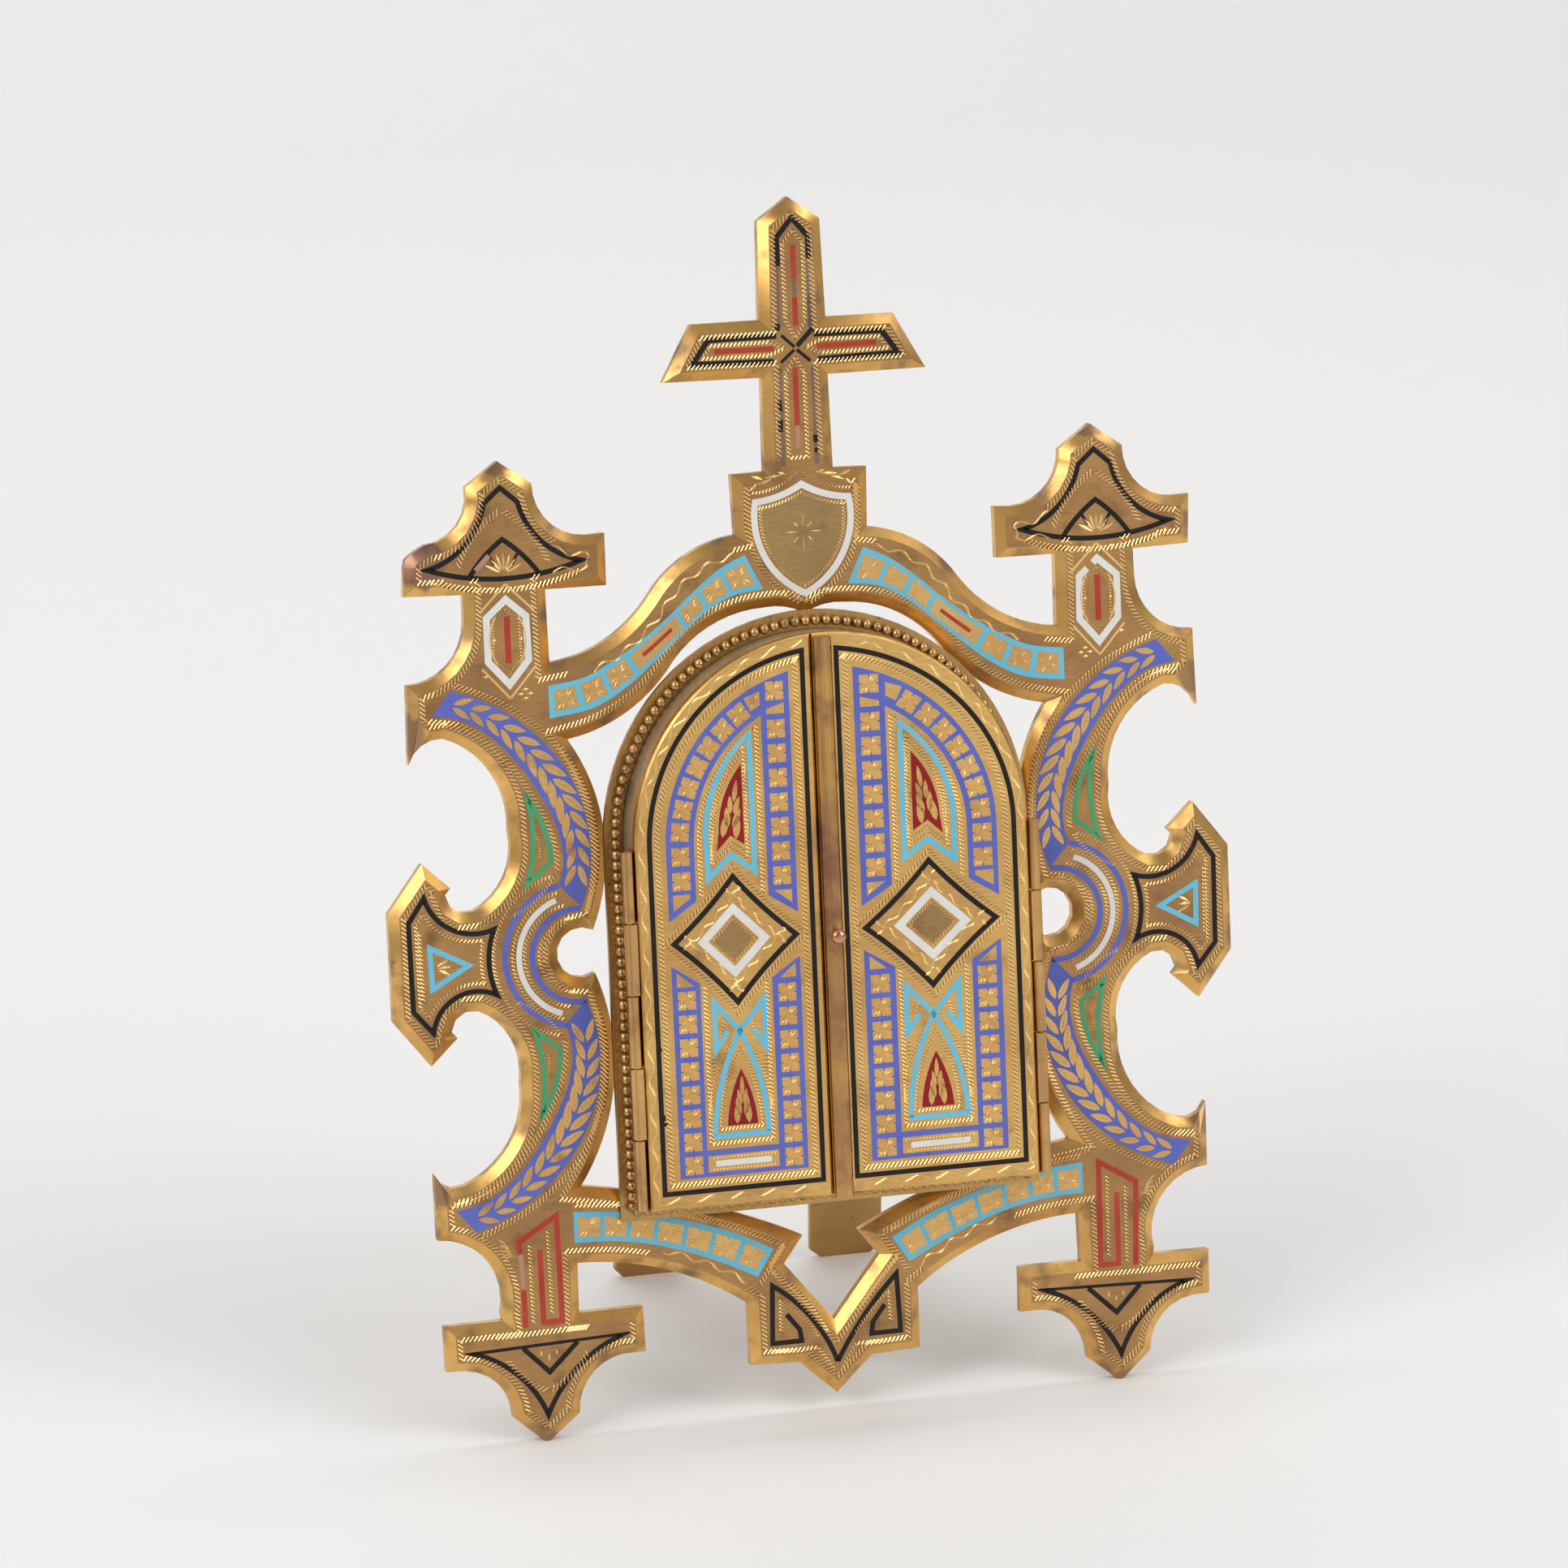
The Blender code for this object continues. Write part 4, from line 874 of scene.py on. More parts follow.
# %% Upper finials and stems
BELL = [(70.0, 218.8), (73.9, 215.4, -2.9), (87.5, 201.4, 3.0), (52.0, 201.4, -2.9), (66.1, 215.4)]
HEXAGON = [(69.9, 193.7), (65.4, 189.7), (65.2, 179.9), (69.8, 174.5), (74.5, 179.9), (74.5, 189.7)]
for side in (-1.0, 1.0):
    black = start("upper_finial_black_enamel", BLACK)
    gold = start_cuts("upper_finial_cut_gold")
    stroke(black, turned(way(BELL, True), side), 1.15, closed=True)
    stroke(black, turned(way([(77.8, 199.3, -0.5), (70.0, 207.2, -0.5), (62.0, 199.3)]), side), 1.15)
    if side < 0.0:
        loss = start("upper_finial_worn_red", FADED_PINK)
        stroke(loss, turned(way([(76.4, 200.6), (73.2, 203.8)]), side), 1.15, ENAMEL_TOP - 0.02)
    for spread in (-1.0, 1.0):
        stroke(black, turned(way([(70.0 + 3.3 * spread, 203.8), (70.0 + 2.0 * spread, 201.5)]), side), 0.7)
        rope(gold, turned(way([(70.0 + 10.4 * spread, 201.6, -1.3 * spread), (70.0 + 0.5 * spread, 213.6)]),
                          side))
    rope(gold, turned(way([(87.0, 199.0, 3.2), (52.6, 199.0)]), side))
    for angle in (28.0, 50.0, 70.0, 90.0, 110.0, 130.0, 152.0):
        turn = math.radians(angle)
        spot = Vector((70.0 * side, 199.4)) + pointing(turn) * 2.9
        stamp(gold, LEAF, spot, turn, 4.3, 0.85, 0.09)
    white = start("stem_white_enamel", WHITE)
    red = start("stem_red_enamel", RED)
    stem_gold = start_cuts("stem_cut_gold")
    ring = turned(way(HEXAGON, True), side)
    if side < 0.0:
        stroke(white, ring, 1.6, closed=True)
    else:
        chipped = [Vector((67.4, 191.5))] + ring[1:] + [ring[0], Vector((68.8, 192.7))]
        stroke(white, chipped, 1.6)
    inner = beside(ring, 1.5 * side, True)
    rope(stem_gold, inner, True, 0.75, 0.65, 0.32)
    stroke(red, turned(way([(69.8, 179.4), (69.8, 189.9)]), side), 1.35)
    for bend in (-1.0, 1.0):
        stroke(stem_gold, turned(way([(69.8 + 2.6 * bend, 190.0, 1.5 * bend), (69.8 + 2.6 * bend, 179.2)]),
                                 side), 0.35, -0.08)
        for top, foot in ((197.2, 191.0), (171.4, 178.4)):
            stroke(stem_gold, turned(way([(69.8, top), (69.8 + 6.2 * bend, foot)]), side), 0.5, -0.08)
        stamp(stem_gold, LEAF, Vector((side * (69.8 + 3.1 * bend), 184.6)), 0.0, 0.9, 0.9)
    for across, height in ((65.2, 172.2), (67.4, 172.2), (66.3, 173.2), (66.3, 171.2), (75.2, 176.6),
                           (73.4, 196.4), (66.4, 196.4)):
        stamp(stem_gold, LEAF, Vector((side * across, height)), 0.0, 1.6, 0.75)
set_down()

# %% Lower finials and stems
ARROW = [(86.0, 22.8), (50.3, 23.9, 2.7), (69.0, 6.9, 2.7)]
for side in (-1.0, 1.0):
    black = start("foot_black_enamel", BLACK)
    gold = start_cuts("foot_cut_gold")
    stroke(black, turned(way(ARROW, True), side), 1.15, closed=True)
    stroke(black, turned(way([(74.2, 22.9), (68.2, 16.8), (61.4, 23.2)]), side), 1.15)
    for spread in (-1.0, 1.0):
        rope(gold, turned(way([(68.5 + 9.4 * spread, 20.6, 1.0 * spread), (68.5 + 0.5 * spread, 12.6)]),
                          side))
        stamp(gold, LEAF, Vector((side * (68.2 + 1.8 * spread), 21.2)), 0.5 * math.pi, 1.3, 0.7)
    stamp(gold, LEAF, Vector((side * 68.2, 20.2)), 0.5 * math.pi, 1.6, 0.7)
    rope(gold, turned(way([(80.0, 25.9), (59.0, 26.3)]), side))
    red = start("foot_red_enamel", RED)
    spiral = [(74.0, 47.4), (65.0, 52.8), (64.7, 28.4), (69.1, 28.4), (69.2, 45.2)]
    if side < 0.0:
        stroke(red, turned(way([(73.8, 44.6)] + spiral), side), 1.25)
        stroke(red, turned(way([(73.3, 27.6), (73.4, 36.4)]), side), 1.25)
        stroke(start("foot_worn_red", FADED_PINK), turned(way([(73.4, 36.4), (73.8, 44.6)]), side), 1.1)
    else:
        stroke(red, turned(way([(73.3, 27.6)] + spiral), side), 1.25)
    rope(gold, turned(way([(71.4, 28.4), (71.5, 46.6)]), side), False, 0.9, 0.8, 0.4)
    rope(gold, turned(way([(66.9, 30.2), (67.1, 49.4)]), side), False, 0.9, 0.8, 0.4)
    for step in range(5):
        hair = way([(76.3 - 0.2 * step + 2.2, 48.4 - 1.3 * step, -0.5), (76.0 - 0.2 * step, 44.4)])
        stroke(gold, turned(hair, side), 0.22, -0.07)
middle_black = start("middle_black_enamel", BLACK)
middle_gold = start_cuts("middle_cut_gold")
for side, bow in ((-1.0, 2.0), (1.0, 0.9)):
    stroke(middle_black, turned(way([(0.0, 12.2, bow), (14.9, 31.4), (15.4, 17.9), (8.4, 17.9), (8.8, 20.6),
                                     (11.8, 24.4)]), side), 1.15)
    rope(middle_gold, turned(way([(2.2, 19.4, bow * 0.6), (15.6, 35.4)]), side), False, 0.95, 1.0, 0.5)
    rope(middle_gold, turned(way([(1.0, 10.6), (4.6, 15.9), (16.0, 15.9)]), side), False, 0.95, 0.9, 0.45)
    rope(middle_gold, turned(way([(4.4, 18.4, bow * 0.5), (13.0, 27.6), (13.2, 20.4)]), side), False,
         0.85, 0.8, 0.4)
set_down()

# %% [markdown]
# The C-shaped wings carry a blue laurel: the field is enamel and the leaves are gold left standing in pairs
# along a rib. Round the small notch run two blue arcs with a white one between, and the outer bracket is
# framed in black around a turquoise triangle.

# %% Wings
LAUREL_OUTER = [(83.5, 174.0), (78.0, 172.0), (72.0, 168.9), (67.0, 165.1), (62.2, 160.5), (58.2, 155.0),
                (55.3, 149.0), (53.6, 143.0), (53.0, 136.5), (53.4, 130.0), (55.6, 122.8)]
LAUREL_INNER = [(88.0, 168.7), (81.2, 167.2), (75.4, 163.6), (70.6, 158.8), (66.6, 153.4), (63.2, 147.6),
                (60.9, 142.6), (59.7, 138.0), (59.4, 134.6), (59.7, 131.4), (60.7, 128.2)]
WING_MIDDLE = 112.3
LEAF_PITCH = 4.3
for side in (-1.0, 1.0):
    blue = start("wing_blue_enamel", BLUE)
    leaves = start("wing_laurel", LEAF_GOLD, slot="gilt")
    cuts = start_cuts("wing_laurel_cuts")
    gold = start_cuts("wing_cut_gold")
    green = start("wing_green_enamel", GREEN)
    for middle in (None, WING_MIDDLE):
        band = Band(LAUREL_OUTER, LAUREL_INNER, side)
        if middle is not None:
            band.outer = turned(band.outer, 1.0, middle)
            band.inner = turned(band.inner, 1.0, middle)
        slab(blue, band.cell(0.0, 1.0, steps=40))
        rib = [band.at(0.01 + 0.97 * step / 40, 0.5) for step in range(41)]
        for here, turn, _ in paced(rib, LEAF_PITCH)[:-1]:
            width = min((here - point).length for point in band.outer + band.inner)
            for bend in (-1.0, 1.0):
                out = Vector((-math.sin(turn), math.cos(turn))) * bend * 0.35
                cut_leaf(leaves, cuts, here + out, turn + bend * math.radians(24.0), 1.7 * width,
                         0.52 * width)
        rope(gold, [band.at(share / 30.0, 1.21) for share in range(31)])
        rope(gold, [band.at(share / 30.0, -0.22) for share in range(28)])
        triangle = way([(67.1, 148.6, -1.2), (62.3, 133.6), (67.9, 129.2, 1.3)], True)
        stroke(green, turned(triangle, side, middle), 1.1, closed=True)
        rope(gold, turned(way([(65.7, 140.6, -0.5), (64.8, 134.6)]), side, middle), False, 0.7, 0.6, 0.3)
        rope(gold, turned(way([(71.6, 122.2, 1.0), (61.6, 130.4)]), side, middle), False, 0.9, 0.9, 0.45)
    for ends, bow, width, mesh in (((60.7, 128.2, 60.4, 96.2), 13.4, 1.3, blue),
                                   ((61.6, 124.9, 61.3, 99.0), 9.3, 1.3, start("wing_white_enamel", WHITE)),
                                   ((55.9, 122.6, 55.4, 101.4), 12.0, 1.3, blue)):
        arc_line = way([(ends[0], ends[1], bow), (ends[2], ends[3])])
        stroke(mesh, turned(arc_line, side), width)
    for ends, bow in (((61.0, 126.6, 60.8, 97.6), 11.2), ((59.6, 123.6, 59.2, 100.4), 10.0),
                      ((57.4, 120.6, 57.0, 103.6), 8.7), ((62.4, 130.4, 62.0, 94.0), 14.4)):
        rope(gold, turned(way([(ends[0], ends[1], bow), (ends[2], ends[3])]), side), False, 0.9, 0.8, 0.42)
    black = start("bracket_black_enamel", BLACK)
    bracket = way([(92.0, 127.8), (95.8, 122.3), (95.6, 102.2), (91.2, 97.0, -4.4), (76.2, 104.5, -1.5),
                   (76.2, 119.5, -3.9)], True)
    stroke(black, turned(bracket, side), 1.15, closed=True)
    hidden = paced(bracket, 0.4, True)
    rope(gold, turned(away_from(beside(bracket, -1.7, True), hidden, 1.6), side), True, 0.9, 0.8, 0.42)
    rope(gold, turned(way([(93.4, 120.0), (93.2, 104.4)]), side), False, 0.9, 0.8, 0.42)
    stroke(start("bracket_turquoise_enamel", TURQUOISE),
           turned(way([(91.2, 116.4), (91.0, 107.0), (82.4, 111.8)], True), side), 1.2, closed=True)
    for bend in (-1.0, 0.0, 1.0):
        stamp(gold, LEAF, Vector((side * 88.2, 111.8 + 1.1 * bend)), -0.5 * bend * side, 3.4, 0.8, 0.14)
set_down()

# %% [markdown]
# Both doors carry one design, drawn here on the right door and mirrored. The right one is a little wider,
# because the strip that covers the joint is fixed to it and stands over the middle, so its drawing is drawn
# out towards the strip.

# %% Doors
SPRING = 136.5
OUTER_LINE = 42.9
INNER_LINE = 5.6
PITCH = 5.4
CELL = 4.2
DRAWN_OUT = 1.085
DOOR_MIDDLE = 24.0


def fitted(points, side):
    """A line of the door's drawing on one door."""
    drawn_out = DRAWN_OUT if side > 0.0 else 1.0
    return [Vector((side * (OUTER_LINE - (OUTER_LINE - p.x) * drawn_out), p.y)) for p in points]


def arch_to(radius, stop):
    """The arc of the door's arch from its spring up to a distance from the middle."""
    return sweep((0.0, SPRING), radius, 0.0, math.degrees(math.acos(stop / radius)))


def square(middle, size, turn=0.0):
    """Corners of a square cell."""
    spots = [Vector((a, b)) * size / 2.0 for a, b in ((-1, -1), (1, -1), (1, 1), (-1, 1))]
    return [middle + Matrix.Rotation(turn, 2) @ spot for spot in spots]


DOOR_CONTOUR = way([(INNER_LINE, 58.0), (OUTER_LINE, 58.0)]) + arch_to(OUTER_LINE, INNER_LINE)
UPPER_FIELD = (way([(15.7, 124.2), (9.0, 119.9)]) + arch_to(39.1, 9.0)[::-1]
               + way([(39.1, 119.9), (32.6, 124.2)]) + arch_to(32.6, 15.7))
LOWER_FIELD = way([(39.1, 61.1), (39.1, 109.8), (32.6, 105.4), (32.6, 67.2), (15.7, 67.2), (15.7, 105.4),
                   (9.0, 109.8), (9.0, 61.1)])
DIAMOND = [(23.9, 129.1, 0.5), (9.6, 114.8, 0.5), (23.9, 100.5, 0.5), (38.2, 114.8, 0.5)]
WHITE_DIAMOND = [(24.2, 121.9), (17.0, 114.7), (24.2, 107.4), (31.5, 114.7)]
OLIVE_DIAMOND = [(24.2, 119.3), (19.6, 114.7), (24.2, 110.0), (28.9, 114.7)]
LANCET = (way([(29.6, 129.0), (29.7, 138.0)]) + sweep((0.0, 138.0), 29.8, 0.0, 50.9)[1:]
          + way([(18.7, 130.1), (24.0, 134.0)]))
RUBY_LANCET = way([(27.3, 135.1), (26.7, 139.5, -1.4), (20.9, 154.4), (20.8, 136.2), (24.0, 138.4)])
PLANTS = ((Vector((24.2, 138.6)), Vector((22.0, 151.6)), 1.0),
          (Vector((23.9, 73.3)), Vector((23.85, 83.4)), 0.9))
SPRAYS = [(-0.06, 1.6, -0.06, 5.6, 1.75), (0.12, 0.62, 0.20, 4.8, 1.5), (0.36, 0.42, 0.16, 4.2, 1.25),
          (0.56, 0.0, 0.0, 5.2, 1.2)]


def door_cells(side, body):
    """The blue lattice of one door with its gold flower cells."""
    blue = on_door(body, "blue_enamel", BLUE)
    cells = on_door(body, "gold_cells", CELL_GOLD, "gilt")
    petals = on_door(body, "petals", CUT_GOLD, "gilt")
    slab(blue, fitted(UPPER_FIELD, side))
    slab(blue, fitted(LOWER_FIELD, side))
    spots = [(Vector((column, 64.0 + PITCH * step)), 0.0) for column in (35.8, 12.3) for step in range(8)]
    spots += [(Vector((12.35, 128.5 + 5.55 * step)), 0.0) for step in range(7)]
    spots += [(Vector((12.4, 170.4)), 0.0), (Vector((35.85, 134.5)), 0.0), (Vector((35.85, 128.9)), 0.0)]
    for step in range(7):
        turn = math.radians(5.7 + 8.1 * step)
        spots.append((Vector((0.0, SPRING)) + pointing(turn) * 35.85, turn))
    for middle, turn in spots:
        crossed_cell(cells, petals, fitted(square(middle, CELL, turn), side), 0.34, 0.2)
    for corners in ([(38.0, 104.9), (38.0, 108.3), (34.0, 104.9)],
                    [(10.1, 105.2), (10.1, 108.4), (13.9, 105.2)],
                    [(38.0, 125.9), (34.0, 125.9), (34.0, 124.9), (38.0, 122.2)],
                    [(10.2, 125.2), (14.3, 125.2), (10.2, 122.1)],
                    [(10.3, 165.2), (14.5, 165.2), (14.5, 166.4), (10.3, 167.6)],
                    [(15.9, 170.5), (15.9, 167.4), (18.1, 166.1), (19.6, 169.2)]):
        outline = fitted([Vector(corner) for corner in corners], side)
        slab(cells, outline, CELL_TOP)
        centre = sum(outline, Vector((0.0, 0.0))) / len(outline)
        for corner in outline[::2]:
            reach = corner - centre
            stamp(petals, LEAF, centre + reach * 0.45, math.atan2(reach.y, reach.x), reach.length * 0.8,
                  0.5, 0.24)
    slab(cells, fitted(way([(15.8, 62.1), (32.5, 62.1), (32.5, 65.9), (15.8, 65.9)]), side), CELL_TOP)
    rope(petals, fitted(way([(16.5, 62.7), (31.8, 62.7), (31.8, 65.3), (16.5, 65.3)], True), side), True,
         0.8, 0.7, 0.36)
    stroke(on_door(body, "white_enamel", WHITE),
           fitted(way([(17.6, 64.0), (30.7, 64.0)]), side), 1.35, CELL_TOP - 0.03)


def door_lines(side, body):
    """The black, white, turquoise and ruby figures of one door."""
    black = on_door(body, "black_enamel", BLACK)
    stroke(black, fitted(DOOR_CONTOUR, side), 1.15, closed=True)
    stroke(black, fitted(way(DIAMOND, True), side), 1.2, closed=True)
    white = on_door(body, "white_enamel", WHITE)
    stroke(white, fitted(way(WHITE_DIAMOND, True), side), 1.8, closed=True)
    centre = on_door(body, "diamond_field", FIELD_GOLD, "gilt")
    slab(centre, fitted(way(OLIVE_DIAMOND), side), -0.03)
    turquoise = on_door(body, "turquoise_enamel", TURQUOISE)
    stroke(turquoise, fitted(LANCET, side), 1.25, closed=True)
    for first, last in ((29.5, 17.9), (17.8, 30.6)):
        lean_in = 1.0 if first > last else -1.0
        figure = way([(first - 2.9 * lean_in, 94.1), (first, 89.9), (first, 100.8),
                      (23.75, 93.9, -1.4 * lean_in), (last, 70.3)])
        stroke(turquoise, fitted(figure, side), 1.2)
    stroke(turquoise, fitted(way([(30.9, 70.2), (17.6, 70.2)]), side), 1.25)
    ruby = on_door(body, "ruby_enamel", RUBY)
    slab(ruby, fitted(RUBY_LANCET, side))
    slab(ruby, fitted(way([(23.9, 85.2, -0.7), (20.4, 72.4), (27.5, 72.4, -0.7)], True), side))
    gold = on_door(body, "leaves", DOOR_GROUND, "gilt")
    cuts = on_door(body, "petals", CUT_GOLD, "gilt")
    for foot, tip, size in PLANTS:
        stem = tip - foot
        upward = math.atan2(stem.y, stem.x)
        across = Vector((-stem.y, stem.x)).normalized() * size
        for share, aside, bend, length, width in SPRAYS:
            for hand in (-1.0, 1.0):
                place = fitted([foot + stem * share + across * aside * hand], side)[0]
                turn = upward + bend * hand if side > 0.0 else math.pi - upward - bend * hand
                if aside or hand > 0.0:
                    cut_leaf(gold, cuts, place, turn, length * size, width * size)


def door_engraving(side, body):
    """The bright cut lines of one door."""
    gold = on_door(body, "cut_gold", CUT_GOLD, "gilt")
    wriggle(gold, fitted(beside(DOOR_CONTOUR, -1.75, True), side), True, 0.6, 7.4,
            lambda place: abs(place.x) > 5.4)
    rope(gold, fitted(beside(DOOR_CONTOUR, 1.75, True), side), True)
    diamond = way(DIAMOND, True)
    rope(gold, fitted(beside(diamond, -1.55, True), side), True)
    wriggle(gold, fitted(beside(diamond, 2.7, True), side), True, 0.45, 5.0)
    rope(gold, fitted(beside(way(WHITE_DIAMOND, True), 1.6, True), side), True, 0.85, 0.85, 0.38)
    for across, top, foot in ((30.2, 88.6, 84.4), (18.0, 88.6, 84.8)):
        rope(gold, fitted(way([(across, top), (across, foot)]), side), False, 0.85, 1.3, 0.4, 84.0)
    inner_upper = (way([(31.3, 125.0), (31.3, SPRING)]) + arch_to(31.3, 16.9)
                   + way([(16.9, 150.0), (16.9, 125.0)]))
    rope(gold, fitted(inner_upper, side), False, 0.95, 0.95, 0.45)
    rope(gold, fitted(beside(LANCET, 1.35, True), side), True, 0.9, 0.85, 0.42)
    rope(gold, fitted(beside(RUBY_LANCET, -1.1, True), side), True, 0.8, 0.75, 0.38)
    rope(gold, fitted(way([(31.4, 104.6), (31.4, 68.5), (16.9, 68.5), (16.9, 104.6)]), side), False,
         0.95, 0.95, 0.45)
    rope(gold, fitted(way([(24.0, 90.0, 1.2), (28.9, 71.7), (19.2, 71.7, 1.2)], True), side), True,
         0.85, 0.75, 0.38)
    for far, bow in ((32.0, -0.8), (16.2, 0.8)):
        shares = (0.12, 0.92, 0.42, 0.54)
        top, foot, curl, end = (DOOR_MIDDLE + (far - DOOR_MIDDLE) * share for share in shares)
        rope(gold, fitted(way([(top, 92.6, -2.0 * bow), (foot, 74.0)]), side), False, 0.85, 0.8, 0.4)
        rope(gold, fitted(way([(curl, 96.6), (end, 92.6)]), side), False, 0.8, 0.7, 0.36)


def door_damage():
    """A dark blot on the left door's contour, and small losses low on the right door."""
    blot = start("left_door_dark_blot", BLACK, "left_door", "door")
    for place, turn, size in (((-42.6, 75.2), 1.2, 2.6), ((-42.2, 74.0), 0.3, 1.8),
                              ((-42.7, 91.0), 1.5, 2.4)):
        stamp(blot, LEAF, Vector(place), turn, size, size * 0.7, 0.1)
    chips = start("right_door_chips", BARE_BED, "right_door", "door", "gilt")
    for place, turn, size in (((13.2, 61.9), 0.2, 1.3), ((19.5, 61.6), 2.0, 0.9), ((27.8, 64.1), 0.7, 1.0),
                              ((31.5, 61.5), 1.2, 0.8), ((29.6, 63.4), 0.1, 0.7)):
        stamp(chips, LEAF, Vector(place), turn, size, size * 0.6, 0.16)


for side, body in ((-1.0, "left_door"), (1.0, "right_door")):
    door_cells(side, body)
    door_lines(side, body)
    door_engraving(side, body)
door_damage()
set_down()

# %% [markdown]
# The insides of the doors are plain brushed gilt with a fine double line round the edge. In the middle of
# each stands an engraved cartouche, an oval of darker brushed metal among scrolls. A scroll is a walk that
# turns more and more, as a graver is pushed round.

# %% Insides of the doors
CARTOUCHE_AT = (24.6, 116.4)
OVAL_ACROSS = 6.5
OVAL_UP = 8.3
OVAL_STEPS = 40
SCROLLS = [
    (0.8, 8.9, 141.0, 17.0, -290.0), (1.6, 9.4, 128.0, 14.0, -330.0), (1.0, 9.0, 148.0, 6.0, -60.0),
    (2.6, 9.2, 110.0, 9.5, -240.0), (3.2, 8.8, 100.0, 5.0, 70.0), (4.6, 7.8, 80.0, 7.5, -260.0),
    (-0.6, 9.0, 170.0, 8.5, -230.0), (-1.0, 9.3, 160.0, 5.0, 20.0), (-1.2, 9.6, 150.0, 4.2, 30.0),
    (7.4, 3.0, 70.0, 6.5, -60.0), (7.9, -1.5, 62.0, 7.5, 95.0), (7.7, -2.5, 50.0, 6.0, 120.0),
    (8.3, -3.4, 66.0, 5.5, -160.0), (-7.4, 3.0, 110.0, 6.5, 60.0), (-7.9, -1.5, 118.0, 7.5, -95.0),
    (-7.7, -2.5, 130.0, 6.0, -120.0), (-8.3, -3.4, 114.0, 5.5, 160.0),
    (1.6, -9.6, -18.0, 14.0, 300.0), (2.0, -10.4, -24.0, 8.0, 60.0), (1.2, -10.8, -40.0, 5.5, 60.0),
    (-2.0, -8.6, 172.0, 8.5, -280.0), (-3.4, -8.9, 150.0, 5.5, -200.0),
    (-1.4, -9.6, -12.0, 20.0, -300.0), (-1.8, -10.4, 190.0, 11.5, 300.0), (-1.0, -14.0, 160.0, 6.0, 220.0),
    (0.6, -15.0, 130.0, 6.5, 230.0), (-0.6, -13.6, 200.0, 3.5, 120.0),
]
LEAFLETS = [
    (9.3, 3.2, 58.0, 5.0, 1.2), (10.0, 0.9, 28.0, 4.2, 1.0), (9.4, -1.2, 60.0, 3.6, 0.9),
    (9.0, -5.6, -42.0, 4.6, 1.1), (6.9, -8.4, -30.0, 4.2, 1.0), (-9.3, 3.2, 122.0, 5.0, 1.2),
    (-10.0, 0.9, 152.0, 4.2, 1.0),
    (-9.4, -1.2, 120.0, 3.6, 0.9), (-9.0, -5.6, 222.0, 4.6, 1.1), (-6.9, -8.4, 210.0, 4.2, 1.0),
    (3.0, 12.8, 70.0, 4.4, 1.1), (5.4, 10.6, 35.0, 4.0, 1.0), (-3.4, 12.2, 118.0, 4.4, 1.1),
    (-6.0, 9.4, 145.0, 4.0, 1.0), (1.5, -13.2, -80.0, 4.2, 1.1), (3.6, -11.4, -40.0, 3.8, 0.9),
]


def scroll(foot, heading, length, curl):
    """A walk from a foot whose turning grows along the way."""
    points, steps = [Vector(foot)], 16
    for step in range(steps):
        turn = math.radians(heading + curl * ((step + 0.5) / steps) ** 1.7)
        points.append(points[-1] + pointing(turn) * length / steps)
    return points


def door_inside(side, body):
    """The double line and the cartouche on the inside of one door."""
    lines = on_door(body, "inside_lines", CUT_GOLD, "gilt", "door_inside")
    near_edge = 6.4 if side < 0.0 else 0.2
    for inset, width in ((0.0, 0.3), (0.9, 0.16)):
        far = 43.3 - inset
        ring = way([(near_edge + inset, 56.9 + inset), (far, 56.9 + inset)]) + arch_to(far, near_edge + inset)
        stroke(lines, turned(ring, side), width, -0.03, True)
    centre = Vector((side * CARTOUCHE_AT[0], CARTOUCHE_AT[1]))
    turns = [math.tau * step / OVAL_STEPS for step in range(OVAL_STEPS)]
    oval = [centre + Vector((OVAL_ACROSS * math.cos(turn), OVAL_UP * math.sin(turn))) for turn in turns]
    slab(on_door(body, "inside_oval", CARTOUCHE_SHADE, "gilt", "door_inside"), oval, -0.012)
    stroke(lines, oval, 0.5, -0.05, True)
    outer = [centre + (spot - centre) * 1.17 for spot in oval]
    for first, last in ((2, 8), (12, 18), (22, 28), (32, 38)):
        stroke(lines, outer[first:last], 0.3, -0.04)
    for nick in (OVAL_UP, -OVAL_UP):
        stroke(lines, [centre + Vector((0.0, nick)) + spot * math.copysign(1.0, -nick)
                       for spot in sweep((0.0, 0.0), 1.5, 10.0, 170.0, 0.4)], 0.4, -0.06)
    for u, v, heading, length, curl in SCROLLS:
        walk = scroll((u * 1.1, v * 1.1), heading, length * 1.2, curl)
        stroke(lines, [centre + Vector((-side * p.x, p.y)) for p in walk], 0.55, -0.06)
    for u, v, heading, length, width in LEAFLETS:
        place = centre + Vector((-side * u, v))
        turn = math.radians(180.0 - heading if side > 0.0 else heading)
        stamp(lines, LEAF, place, turn, length, width, 0.06)


for side, body in ((-1.0, "left_door"), (1.0, "right_door")):
    door_inside(side, body)

# %% [markdown]
# The moulding round the picture is joined at its two lower corners, and grey solder shows along each mitre.

# %% Mitres of the moulding
MITRE_FACE = 7.3
MITRE_FALL = 0.9
MITRE_HALF = 0.15
MITRE_INSET = 0.2
MITRE_DEPTHS = (-0.04, 0.2)


